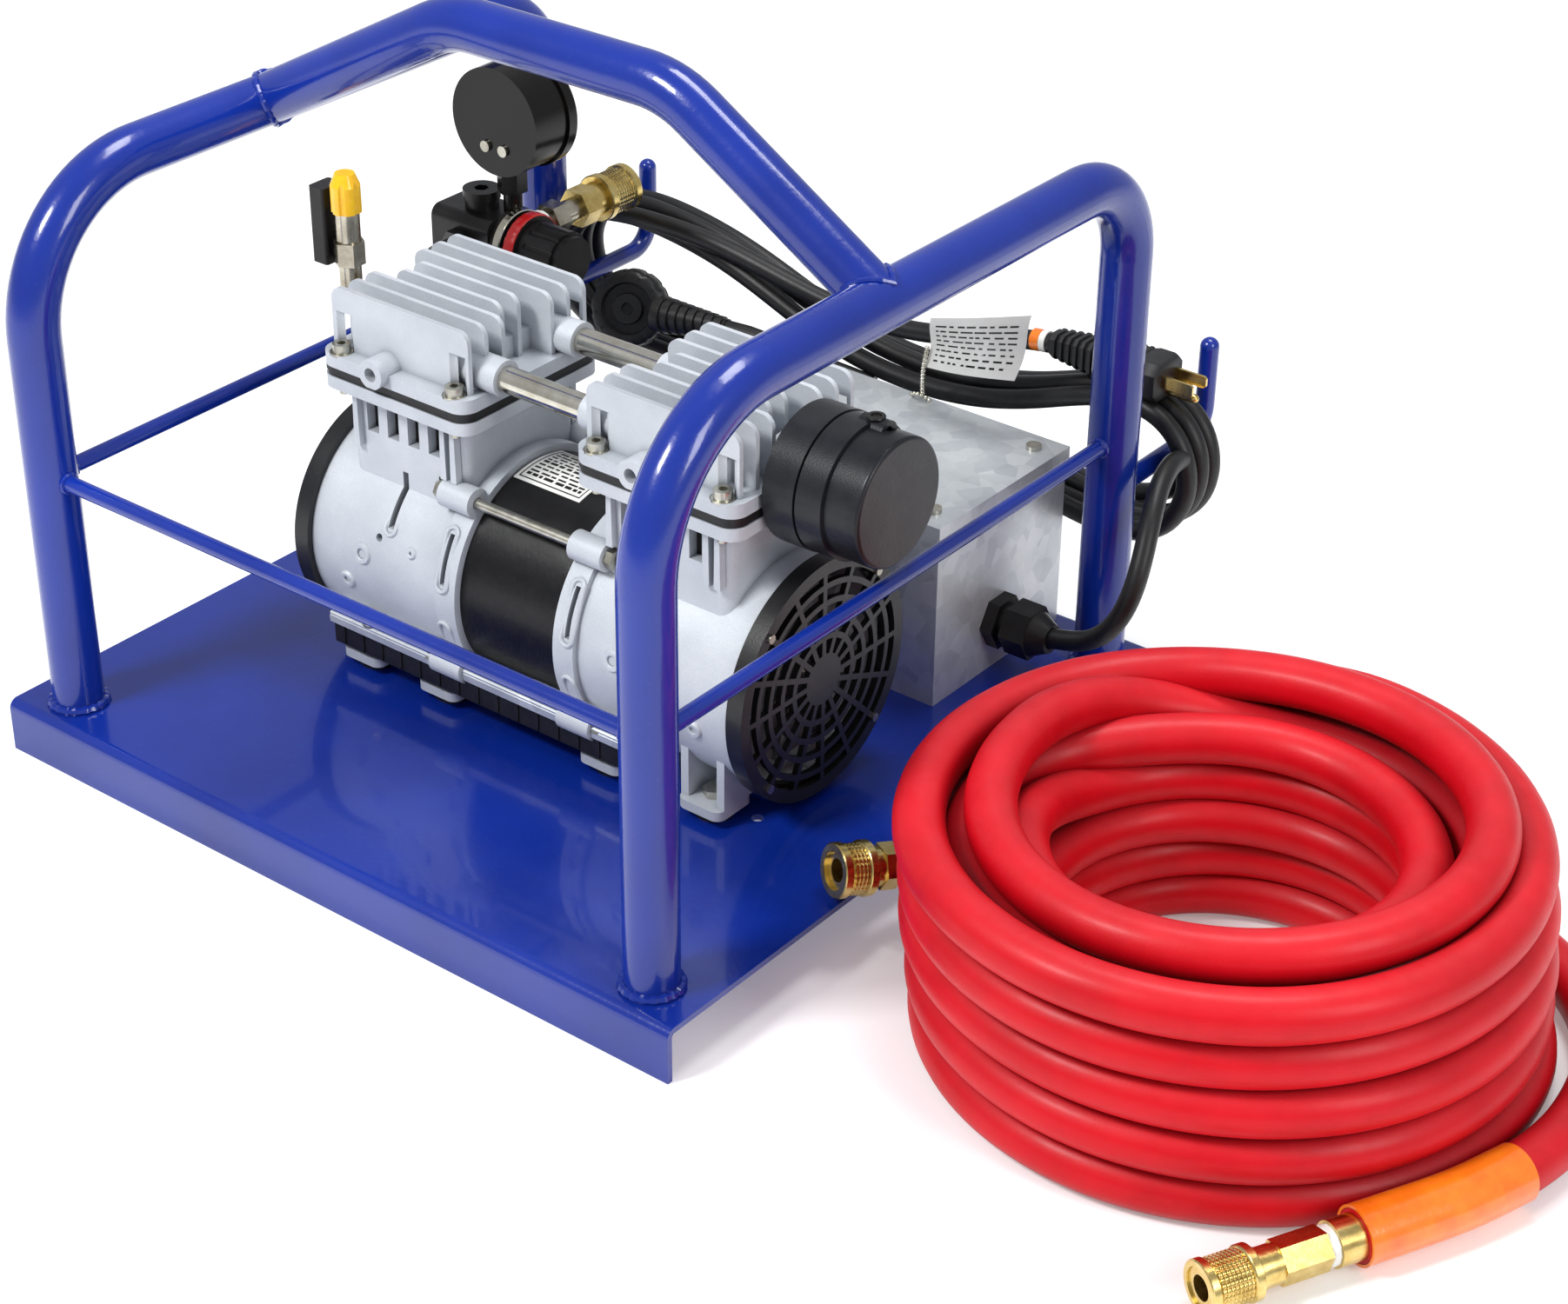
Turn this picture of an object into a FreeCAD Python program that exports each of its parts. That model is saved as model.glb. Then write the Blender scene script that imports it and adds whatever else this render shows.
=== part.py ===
import FreeCAD, Part
import math
import os

# Portable twin-cylinder oil-less air compressor on a welded tube frame, with
# its power cord hanked on two hooks and a coil of air hose standing beside it.
# Millimetres.  +X runs to the end with the intake filter, +Y to the rear, where
# the gauge and outlet are, +Z up.  Origin: middle of the frame's footprint, on
# the surface that it stands on.

# ---------------------------------------------------------------- dimensions
SHEET = 3.0                # base sheet
PLATE_X = 213.0            # half width of the base
PLATE_Y0, PLATE_Y1 = -233.0, 170.0
PLATE_TOP = 28.0           # the front and rear edges are folded down this far
TUBE_D, TUBE_W = 25.4, 2.0 # frame tube
POST_X = 186.0
POST_Y0, POST_Y1 = -211.0, 141.0
HOOP_Z = 297.0
HOOP_R0, HOOP_R1 = 72.0, 44.0
HANDLE_Y = -56.0
HANDLE_Z = 366.5
RAIL_D, RAIL_Z = 8.0, 154.0
HOOK_D, HOOK_Z, HOOK_Y, HOOK_TOP = 10.0, 125.0, 228.0, 172.0

AY, AZ = -48.5, 94.0       # motor axis, along X
BARREL_R, BARREL_WALL = 58.0, 4.5
RING_R = 61.0
L_IN, L_OUT = -23.0, -122.0    # left housing, stator end and fan end
R_IN, R_OUT = 40.0, 145.0      # right housing
L_CYL, R_CYL = -69.5, 92.5     # cylinder axes
HEAD_HALF_X, HEAD_HALF_Y = 48.0, 49.0
HEAD_Y = -49.0
DECK_Z = 187.5             # top of the housings' cylinder decks
GASKET_T, VALVE_T = 2.6, 2.4
SLAB_T = 7.0              # solid part of a head
FIN_TOP = 231.0
FIN_N, FIN_T = 8, 2.6
BORE_R = 25.0
THROW = 6.0                # crank throw, so the stroke is 12

FILTER_Y, FILTER_Z = -48.0, 199.5
BOX_X0, BOX_X1, BOX_Y0, BOX_Y1, BOX_Z1 = -5.0, 147.0, 51.0, 161.0, 128.0
GLAND_Y, GLAND_Z = 104.0, 55.0
CORD_D = 10.5
HOSE_D = 23.5
COIL_X, COIL_Y = 376.0, -50.0
COIL_RO, COIL_RI, COIL_H = 142.0, 75.0, 117.0

REG_Y, REG_Z = 72.0, 190.0     # regulator axis, along X
GAUGE = (-148.5, 76.0, 258.0)  # middle of the gauge case
GAUGE_R = 29.0
OUT_X, OUT_Z = -150.0, 190.0   # outlet axis, along Y

os.makedirs("parts", exist_ok=True)
PARTS = {}


# ------------------------------------------------------------------- helpers
def V(x, y, z):
    return FreeCAD.Vector(x, y, z)


def box(x0, x1, y0, y1, z0, z1):
    return Part.makeBox(x1 - x0, y1 - y0, z1 - z0, V(x0, y0, z0))


def cyl(p, axis, r, h):
    return Part.makeCylinder(r, h, V(*p), V(*axis))


def cone(p, axis, r0, r1, h):
    return Part.makeCone(r0, r1, h, V(*p), V(*axis))


def tube(p, axis, ro, ri, h):
    q = V(*p) - V(*axis) * 1.0
    return cyl(p, axis, ro, h).cut(Part.makeCylinder(ri, h + 2.0, q, V(*axis)))


def hexa(p, axis, af, h, turn=0.0):
    """Hexagonal prism, across flats af, from p along axis (X, Y or Z)."""
    r = af / math.sqrt(3.0)
    ax = V(*axis)
    ref = V(0, 0, 1) if abs(ax.z) < 0.5 else V(1, 0, 0)
    u = ref.cross(ax)
    u.normalize()
    w = ax.cross(u)
    pts = []
    for i in range(6):
        a = math.radians(60 * i + turn)
        pts.append(V(*p) + u * (r * math.cos(a)) + w * (r * math.sin(a)))
    pts.append(pts[0])
    return Part.Face(Part.makePolygon(pts)).extrude(ax * h)


def rbox(x0, x1, y0, y1, z0, z1, r, axis="z"):
    """Box with the four edges along one axis rounded."""
    b = box(x0, x1, y0, y1, z0, z1)
    es = []
    for e in b.Edges:
        a, c = e.Vertexes[0].Point, e.Vertexes[1].Point
        d = c - a
        if axis == "z" and abs(d.z) > 1e-6:
            es.append(e)
        if axis == "y" and abs(d.y) > 1e-6:
            es.append(e)
        if axis == "x" and abs(d.x) > 1e-6:
            es.append(e)
    return b.makeFillet(r, es)


def fuse(shapes):
    s = shapes[0]
    for t in shapes[1:]:
        s = s.fuse(t)
    return s.removeSplitter()


def group(shapes):
    return Part.makeCompound(shapes)


def path(points, radii):
    """Edges of straight runs joined by tangent arcs, and their total length."""
    P = [V(*p) for p in points]
    edges = []
    last = P[0]
    length = 0.0
    for i in range(1, len(P) - 1):
        a = P[i - 1] - P[i]
        b = P[i + 1] - P[i]
        a.normalize()
        b.normalize()
        ang = a.getAngle(b)
        turn = math.pi - ang
        r = radii[i - 1]
        t = r * math.tan(turn / 2.0)
        s = P[i] + a * t
        e = P[i] + b * t
        bis = a + b
        bis.normalize()
        c = P[i] + bis * (r / math.cos(turn / 2.0))
        m = c - bis * r
        if (s - last).Length > 1e-6:
            edges.append(Part.LineSegment(last, s).toShape())
            length += (s - last).Length
        edges.append(Part.Arc(s, m, e).toShape())
        length += r * turn
        last = e
    edges.append(Part.LineSegment(last, P[-1]).toShape())
    length += (P[-1] - last).Length
    return edges, length


def sweep(points, radii, r):
    edges, length = path(points, radii)
    w = Part.Wire(edges)
    d = V(*points[1]) - V(*points[0])
    prof = Part.Wire([Part.makeCircle(r, V(*points[0]), d)])
    s = w.makePipeShell([prof], True, True)
    if s.Volume < 0:
        s.reverse()
    return s, length


def free_radii(points, d, name, floor=5.0):
    """Largest arcs that the runs leave room for, printed with the turns."""
    P = [V(*p) for p in points]
    out = []
    for i in range(1, len(P) - 1):
        a = P[i] - P[i - 1]
        b = P[i + 1] - P[i]
        turn = a.getAngle(b)
        out.append(0.45 * min(a.Length, b.Length) / math.tan(turn / 2.0))
    runs = [(P[i + 1] - P[i]).Length for i in range(len(P) - 1)]
    print(name, "runs", [round(x, 1) for x in runs], "radii", [round(x, 1) for x in out],
          "least in diameters", round(min(out) / d, 2))
    return out


def check_tube(name, s, r, length):
    v = math.pi * r * r * length
    print(name, "valid", s.isValid(), "length", round(length, 1), "volume ratio", round(s.Volume / v, 4))


def screw(p, axis, d, head_d, head_h, length, hexhead=True, socket=0.0):
    """Screw whose head sits on p, its shank running against axis."""
    ax = V(*axis)
    if hexhead:
        h = hexa(p, axis, head_d, head_h)
    else:
        h = cyl(p, axis, head_d / 2.0, head_h)
        if socket > 0:
            top = V(*p) + ax * (head_h * 0.45)
            h = h.cut(hexa((top.x, top.y, top.z), axis, socket, head_h))
    b = V(*p) - ax * length
    return h.fuse(Part.makeCylinder(d / 2.0, length + 0.5, b, ax)).removeSplitter()


def node(name, shape):
    sols = shape.Solids
    PARTS[name] = shape if len(sols) != 1 else sols[0]


# --------------------------------------------------------------------- frame
ro, ri = TUBE_D / 2.0, TUBE_D / 2.0 - TUBE_W

# base: sheet with its front and rear edges folded down
bend = 5.0
outer = rbox(-PLATE_X, PLATE_X, PLATE_Y0, PLATE_Y1, -10.0, PLATE_TOP, bend, "x")
inner = rbox(-PLATE_X - 1, PLATE_X + 1, PLATE_Y0 + SHEET, PLATE_Y1 - SHEET, -10.0, PLATE_TOP - SHEET, bend - SHEET, "x")
base = outer.cut(inner)
base = base.cut(box(-PLATE_X - 1, PLATE_X + 1, PLATE_Y0 - 1, PLATE_Y1 + 1, -11, 0))
FEET = []
for fx in (-98.0, -46.0, 60.0, 122.0):
    for fy in (AY - 41.0, AY + 41.0):
        FEET.append((fx, fy))
for fx, fy in FEET:
    base = base.cut(cyl((fx, fy, PLATE_TOP - SHEET - 1), (0, 0, 1), 3.3, SHEET + 2))
for sx, sy in ((141.0, -81.0), (141.0, -12.0)):
    base = base.cut(cyl((sx, sy, PLATE_TOP - SHEET - 1), (0, 0, 1), 3.0, SHEET + 2))
for bx, by in ((20.0, 66.0), (122.0, 146.0)):
    base = base.cut(cyl((bx, by, PLATE_TOP - SHEET - 1), (0, 0, 1), 2.2, SHEET + 2))
node("base_plate", base)

# side hoops of bent tube, standing on the plate
hoops = {}
solid_hoops = {}
for side, x in (("left", -POST_X), ("right", POST_X)):
    pts = [(x, POST_Y0, PLATE_TOP), (x, POST_Y0, HOOP_Z), (x, POST_Y1, HOOP_Z), (x, POST_Y1, PLATE_TOP)]
    so, _ = sweep(pts, [HOOP_R0, HOOP_R1], ro)
    si, _ = sweep(pts, [HOOP_R0, HOOP_R1], ri)
    solid_hoops[side] = so
    hoops[side] = so.cut(si)
    node(side + "_hoop", hoops[side])

# carrying bow between the hoops
hx = POST_X
pts = [(-hx, HANDLE_Y, HOOP_Z), (-58.0, HANDLE_Y, HANDLE_Z), (72.0, HANDLE_Y, HANDLE_Z), (hx, HANDLE_Y, HOOP_Z)]
bo, _ = sweep(pts, [60.0, 60.0], ro - 0.1)
bi, _ = sweep(pts, [60.0, 60.0], ri)
bow = bo
for side in ("left", "right"):
    # coped to the hoop it is welded to
    bow = max(bow.cut(solid_hoops[side]).Solids, key=lambda s: s.Volume)
bow = max(bow.cut(bi).Solids, key=lambda s: s.Volume)
node("carry_handle", bow)

# guard rails of round bar
rr = RAIL_D / 2.0
fr = cyl((-POST_X, POST_Y0, RAIL_Z), (1, 0, 0), rr, 2 * POST_X).cut(solid_hoops["left"]).cut(solid_hoops["right"])
node("front_rail", max(fr.Solids, key=lambda s: s.Volume))
sr = []
for side, x in (("left", -POST_X), ("right", POST_X)):
    s = cyl((x, POST_Y0, RAIL_Z), (0, 1, 0), rr, POST_Y1 - POST_Y0).cut(solid_hoops[side])
    sr.append(max(s.Solids, key=lambda t: t.Volume))

# cord hooks behind the rear posts
hk = []
for side, x in (("left", -POST_X), ("right", POST_X)):
    pts = [(x, POST_Y1, HOOK_Z), (x, HOOK_Y, HOOK_Z), (x, HOOK_Y, HOOK_TOP)]
    s, _ = sweep(pts, [15.0], HOOK_D / 2.0)
    s = s.fuse(Part.makeSphere(HOOK_D / 2.0, V(x, HOOK_Y, HOOK_TOP))).removeSplitter()
    s = s.cut(solid_hoops[side])
    hk.append(max(s.Solids, key=lambda t: t.Volume))
node("cord_hooks", group(hk))

# ---------------------------------------------------------------- pump motor
PAD_Z0, PAD_Z1 = PLATE_TOP, PLATE_TOP + 5.0
LUG_Z1 = PAD_Z1 + 5.0
pads, bolts = [], []
for fx, fy in FEET:
    pads.append(tube((fx, fy, PAD_Z0), (0, 0, 1), 9.5, 3.3, PAD_Z1 - PAD_Z0))
    b = screw((fx, fy, LUG_Z1), (0, 0, 1), 6.0, 10.0, 4.0, LUG_Z1 - PLATE_TOP + SHEET + 8.0)
    n = hexa((fx, fy, PLATE_TOP - SHEET - 5.0), (0, 0, 1), 10.0, 5.0).cut(cyl((fx, fy, 0), (0, 0, 1), 3.0, 40))
    bolts.append(b)
    bolts.append(n)
node("rubber_mounts", group(pads))
node("foot_bolts", group(bolts))

TIE_R = 65.0
TIES = [math.radians(a) for a in (50.0, 130.0, 215.0, 325.0)]


def tie_pos(a):
    return AY - TIE_R * math.cos(a), AZ + TIE_R * math.sin(a)


def housing(cx, x_out, x_in, feet_x):
    """One crankcase half: barrel, stator ring, cylinder block, deck and feet."""
    s = 1.0 if x_in > x_out else -1.0      # direction towards the stator
    lo, hi = min(x_in, x_out), max(x_in, x_out)
    ring0, ring1 = (x_in - 12.5 * s), x_in
    body = [cyl((lo, AY, AZ), (1, 0, 0), BARREL_R, hi - lo)]
    body.append(cyl((min(ring0, ring1), AY, AZ), (1, 0, 0), RING_R, 12.5))
    body.append(rbox(cx - 38.0, cx + 38.0, HEAD_Y - 40.0, HEAD_Y + 40.0, AZ, DECK_Z - 6.5, 7.0))
    body.append(rbox(cx - HEAD_HALF_X, cx + HEAD_HALF_X, HEAD_Y - HEAD_HALF_Y, HEAD_Y + HEAD_HALF_Y,
                     DECK_Z - 6.5, DECK_Z, 9.0))
    for fx in feet_x:
        for k in (-1.0, 1.0):
            fy = AY + 41.0 * k
            body.append(rbox(fx - 13.0, fx + 13.0, fy - 13.0, fy + 13.0, PAD_Z1, LUG_Z1, 5.0))
            body.append(box(fx - 13.0, fx - 8.5, min(AY + 25.0 * k, fy + 9 * k), max(AY + 25.0 * k, fy + 9 * k), LUG_Z1, AZ - 28.0))
            body.append(box(fx + 8.5, fx + 13.0, min(AY + 25.0 * k, fy + 9 * k), max(AY + 25.0 * k, fy + 9 * k), LUG_Z1, AZ - 28.0))
    for a in TIES:
        ty, tz = tie_pos(a)
        body.append(cyl((min(x_in - 20.0 * s, x_in), ty, tz), (1, 0, 0), 7.4, 20.0))
    h = fuse(body)
    # inside of the crankcase, on both sides of the bearing web
    web0, web1 = sorted((x_in - 13.0 * s, x_in - 19.0 * s))
    inner_r = BARREL_R - BARREL_WALL
    if s > 0:
        h = h.cut(cyl((lo - 1, AY, AZ), (1, 0, 0), inner_r, web0 - lo + 1))
        h = h.cut(cyl((web1, AY, AZ), (1, 0, 0), inner_r, hi - web1 + 1))
    else:
        h = h.cut(cyl((lo - 1, AY, AZ), (1, 0, 0), inner_r, web0 - lo + 1))
        h = h.cut(cyl((web1, AY, AZ), (1, 0, 0), inner_r, hi - web1 + 1))
    cx0, cx1 = cx - 33.0, cx + 33.0
    if s > 0:
        cx1 = min(cx1, web0)
    else:
        cx0 = max(cx0, web1)
    h = h.cut(rbox(cx0, cx1, HEAD_Y - 34.0, HEAD_Y + 34.0, AZ, DECK_Z - 12.0, 6.0))
    h = h.cut(cyl((cx, HEAD_Y, DECK_Z - 20), (0, 0, 1), BORE_R + 3.0, 30))
    h = h.cut(cyl((web0 - 1, AY, AZ), (1, 0, 0), 14.0, web1 - web0 + 2))
    # cooling windows under the deck, front and back
    for i in range(4):
        wx = cx - 26.0 + i * 13.5
        h = h.cut(rbox(wx, wx + 7.5, HEAD_Y - 45.0, HEAD_Y + 45.0, DECK_Z - 28.0, DECK_Z - 10.0, 1.5))
    # slots round the barrel
    for zz, yy in ((118.0, -1), (118.0, 1)):
        y0, y1 = (AY - 62.0, AY - 30.0) if yy < 0 else (AY + 30.0, AY + 62.0)
        h = h.cut(rbox(cx - 2.0 * s - 1.8, cx - 2.0 * s + 1.8, y0, y1, zz, zz + 26.0, 1.6))
        h = h.cut(rbox(x_in - 8.5 * s - 1.4, x_in - 8.5 * s + 1.4, y0, y1, 104.0, 128.0, 1.3))
        h = h.cut(rbox(x_in - 8.5 * s - 1.4, x_in - 8.5 * s + 1.4, y0 + 6.0 if yy < 0 else y0, y1 if yy < 0 else y1 - 6.0, 56.0, 80.0, 1.3))
    h = h.cut(cyl((cx - 8.0, AY - 70.0, 112.0), (0, 1, 0), 2.0, 40.0))
    # bolt holes
    for fx in feet_x:
        for k in (-1.0, 1.0):
            h = h.cut(cyl((fx, AY + 41.0 * k, PAD_Z1 - 1), (0, 0, 1), 3.3, 8.0))
    for a in TIES:
        ty, tz = tie_pos(a)
        h = h.cut(cyl((min(x_in - 21.0 * s, x_in + s), ty, tz), (1, 0, 0), 3.0, 22.0))
        h = h.cut(cyl((min(x_in - 26.0 * s, x_in - 20.0 * s), ty, tz), (1, 0, 0), 5.6, 6.0))
    return max(h.Solids, key=lambda t: t.Volume)


left_housing = housing(L_CYL, L_OUT, L_IN, (-98.0, -46.0))
right_housing = housing(R_CYL, R_OUT, R_IN, (60.0, 122.0))
TAPS = (-1.0, 1.0)
for cx in (L_CYL, R_CYL):
    for sx in TAPS:
        for sy in TAPS:
            t = cyl((cx + sx * 37.0, HEAD_Y + sy * 43.5, DECK_Z - 12.0), (0, 0, 1), 2.5, 13.0)
            if cx == L_CYL:
                left_housing = left_housing.cut(t)
            else:
                right_housing = right_housing.cut(t)
node("left_housing", left_housing)
node("right_housing", right_housing)

# stator: laminated ring gripped between the two halves
STATOR_R, STATOR_RI = 57.0, 33.0
core = tube((L_IN, AY, AZ), (1, 0, 0), STATOR_R, STATOR_RI, R_IN - L_IN)
for k in range(12):
    a = math.radians(30 * k + 15)
    sl = box(L_IN - 1, R_IN + 1, -3.0, 3.0, STATOR_RI - 1.0, 46.0)
    sl.rotate(V(0, 0, 0), V(1, 0, 0), math.degrees(a))
    sl.translate(V(0, AY, AZ))
    core = core.cut(sl)
node("stator_core", core)
wind = [tube((L_IN - 10.5, AY, AZ), (1, 0, 0), 50.0, 36.0, 10.5), tube((R_IN, AY, AZ), (1, 0, 0), 50.0, 36.0, 10.5)]
node("stator_windings", group(wind))

ties = []
for a in TIES:
    ty, tz = tie_pos(a)
    b = screw((L_IN - 20.0, ty, tz), (-1, 0, 0), 5.5, 9.0, 4.5, R_IN - L_IN + 44.0)
    n = hexa((R_IN + 20.0, ty, tz), (1, 0, 0), 9.0, 4.5).cut(cyl((R_IN + 19.0, ty, tz), (1, 0, 0), 2.75, 7))
    ties += [b, n]
node("tie_bolts", group(ties))

bear = []
for x0 in (L_IN - 19.0, R_IN + 13.0):
    bear.append(tube((x0, AY, AZ), (1, 0, 0), 14.0, 6.05, 6.0))
node("shaft_bearings", group(bear))

# rotating parts
SHAFT_R = 6.0
shaft = cyl((-117.0, AY, AZ), (1, 0, 0), SHAFT_R, 258.0)
sh = [shaft]
for cx, k in ((L_CYL, 1.0), (R_CYL, -1.0)):
    sh.append(cyl((cx - 6.0, AY, AZ + THROW * k), (1, 0, 0), 13.0, 12.0))
    w = cyl((cx + 7.0, AY, AZ), (1, 0, 0), 22.0, 6.0)
    w = w.cut(box(cx + 6.0, cx + 14.0, AY - 30, AY + 30, (AZ - 30) if k < 0 else (AZ + 2), (AZ - 2) if k < 0 else (AZ + 30)))
    sh.append(w)
node("motor_shaft", fuse(sh))
rotor = tube((L_IN + 10.0, AY, AZ), (1, 0, 0), STATOR_RI - 0.8, SHAFT_R, R_IN - L_IN - 20.0)
node("rotor", rotor)


def fan(x0, h):
    hub = tube((x0, AY, AZ), (1, 0, 0), 13.0, SHAFT_R, h)
    back = tube((x0 + (h - 1.6) / 2.0, AY, AZ), (1, 0, 0), 46.0, 12.0, 1.6)
    ps = [hub, back]
    for k in range(9):
        b = box(x0, x0 + h, -1.0, 1.0, 12.0, 46.0)
        b.rotate(V(x0 + h / 2.0, 0, 0), V(0, 0, 1), 12.0)
        b.rotate(V(0, 0, 0), V(1, 0, 0), 40.0 * k)
        b.translate(V(0, AY, AZ))
        ps.append(b)
    return fuse(ps)


node("left_fan", fan(-116.0, 9.0))
node("right_fan", fan(131.0, 9.0))


def piston(cx):
    """Cup piston on its rod; the big end clears the throw all the way round."""
    top = DECK_Z - THROW - 2.0
    p = [cyl((cx, HEAD_Y, top - 7.0), (0, 0, 1), BORE_R - 1.0, 5.0),
         cyl((cx, HEAD_Y, top - 2.0), (0, 0, 1), BORE_R - 0.05, 2.0),
         box(cx - 4.0, cx + 4.0, AY - 9.0, AY + 9.0, AZ + 28.0, top - 6.0),
         tube((cx - 5.5, AY, AZ), (1, 0, 0), 30.0, 25.0, 11.0)]
    return fuse(p)


node("left_piston", piston(L_CYL))
node("right_piston", piston(R_CYL))
sleeves = []
for cx in (L_CYL, R_CYL):
    sleeves.append(tube((cx, HEAD_Y, DECK_Z - 34.0), (0, 0, 1), BORE_R + 3.0, BORE_R, 34.0))
node("cylinder_sleeves", group(sleeves))

gask, valves, heads = [], [], {}
for name, cx in (("left", L_CYL), ("right", R_CYL)):
    x0, x1 = cx - HEAD_HALF_X, cx + HEAD_HALF_X
    y0, y1 = HEAD_Y - HEAD_HALF_Y, HEAD_Y + HEAD_HALF_Y
    g = rbox(x0 + 0.8, x1 - 0.8, y0 + 0.8, y1 - 0.8, DECK_Z, DECK_Z + GASKET_T, 8.2)
    g = g.cut(cyl((cx, HEAD_Y, DECK_Z - 1), (0, 0, 1), BORE_R + 1.0, 6))
    v0 = DECK_Z + GASKET_T
    v = rbox(x0, x1, y0, y1, v0, v0 + VALVE_T, 9.0)
    for k in (-1, 1):
        v = v.cut(cyl((cx + 11.0 * k, HEAD_Y, v0 - 1), (0, 0, 1), 4.0, 6))
    z0 = v0 + VALVE_T
    z1 = z0 + SLAB_T
    h = [rbox(x0, x1, y0, y1, z0, z1, 9.0)]
    pitch = 11.5
    for i in range(FIN_N):
        fy = HEAD_Y - 40.5 + i * pitch
        # the two middle fins stop short of the ports at both ends
        a, b = (x0 + 13.0, x1 - 15.0) if i in (3, 4) else (x0 + 3.0, x1 - 4.0)
        f = box(a, b, fy, fy + FIN_T, z1 - 1.0, FIN_TOP)
        es = [e for e in f.Edges if abs(e.Vertexes[0].Point.y - e.Vertexes[1].Point.y) > 1 and e.Vertexes[0].Point.z > z1]
        h.append(f.makeFillet(6.5, es))
    # solid centre under the fins and the port bosses
    h.append(rbox(x0 + 17.0, x1 - 18.0, HEAD_Y - 36.5, HEAD_Y + 36.5, z1 - 1.0, z1 + 11.0, 6.0))
    inward = 1.0 if name == "left" else -1.0
    face = x1 if name == "left" else x0
    for by, bz in ((HEAD_Y - 27.0, 207.0), (HEAD_Y + 27.0, 207.0)):
        a, b = sorted((face - 18.0 * inward, face + 7.0 * inward))
        h.append(cyl((a, by, bz), (1, 0, 0), 9.0, b - a))
    h.append(cyl((cx - 8.0, y0 - 5.0, 199.5), (0, 1, 0), 7.5, 22.0))
    if name == "left":
        h.append(cyl((cx - 8.0, y1 - 17.0, 199.5), (0, 1, 0), 7.5, 21.0))
    if name == "right":
        h.append(cyl((x1 - 14.0, FILTER_Y, FILTER_Z + 2), (1, 0, 0), 12.0, 16.0))
    else:
        h.append(cyl((x0 - 6.0, HEAD_Y + 3.0, 203.0), (1, 0, 0), 9.0, 22.0))
    h = fuse(h)
    h = h.cut(box(x0 - 30.0, x1 + 30.0, y0 - 20.0, y1 + 20.0, z0 - 20.0, z0))
    for by, bz in ((HEAD_Y - 27.0, 207.0), (HEAD_Y + 27.0, 207.0)):
        a, b = sorted((face - 12.0 * inward, face + 8.0 * inward))
        h = h.cut(cyl((a, by, bz), (1, 0, 0), 6.5, b - a))
    h = h.cut(cyl((cx - 8.0, y0 - 6.0, 199.5), (0, 1, 0), 3.6, 18.0))
    if name == "left":
        h = h.cut(cyl((cx - 8.0, y1 - 10.0, 199.5), (0, 1, 0), 4.0, 20.0))
    h = h.cut(cyl((cx - 11.0, HEAD_Y, z0 - 1), (0, 0, 1), 5.0, 7.0)).cut(cyl((cx + 11.0, HEAD_Y, z0 - 1), (0, 0, 1), 5.0, 7.0))
    if name == "right":
        h = h.cut(cyl((x1 - 12.0, FILTER_Y, FILTER_Z + 2), (1, 0, 0), 7.0, 20.0))
    else:
        h = h.cut(cyl((x0 - 7.0, HEAD_Y + 3.0, 203.0), (1, 0, 0), 5.65, 20.0))
    for sx in TAPS:
        for sy in TAPS:
            px, py = cx + sx * 37.0, HEAD_Y + sy * 43.5
            h = h.cut(cyl((px, py, z0 + 6.0), (0, 0, 1), 6.0, 20.0))
            for q, zz in ((h, z0),):
                h = h.cut(cyl((px, py, z0 - 1), (0, 0, 1), 2.75, 12.0))
            g = g.cut(cyl((px, py, DECK_Z - 1), (0, 0, 1), 2.75, 6.0))
            v = v.cut(cyl((px, py, v0 - 1), (0, 0, 1), 2.75, 6.0))
    heads[name] = max(h.Solids, key=lambda t: t.Volume)
    gask.append(max(g.Solids, key=lambda t: t.Volume))
    valves.append(max(v.Solids, key=lambda t: t.Volume))
node("head_gaskets", group(gask))
node("valve_plates", group(valves))
node("left_head", heads["left"])
node("right_head", heads["right"])

# transfer tubes between the heads
x0 = L_CYL + HEAD_HALF_X - 12.0
x1 = R_CYL - HEAD_HALF_X + 12.0
tt = []
for by in (HEAD_Y - 27.0, HEAD_Y + 27.0):
    tt.append(tube((x0, by, 207.0), (1, 0, 0), 6.5, 5.0, x1 - x0))
node("transfer_tubes", group(tt))

# screws: heads, fan covers, gauge, box lid
ms = []
SCREW_Z = DECK_Z + GASKET_T + VALVE_T + 6.0
for cx in (L_CYL, R_CYL):
    for sx in TAPS:
        for sy in TAPS:
            ms.append(screw((cx + sx * 37.0, HEAD_Y + sy * 43.5, SCREW_Z), (0, 0, 1), 5.0, 9.0, 5.5, 21.0, False, 4.0))


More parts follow.
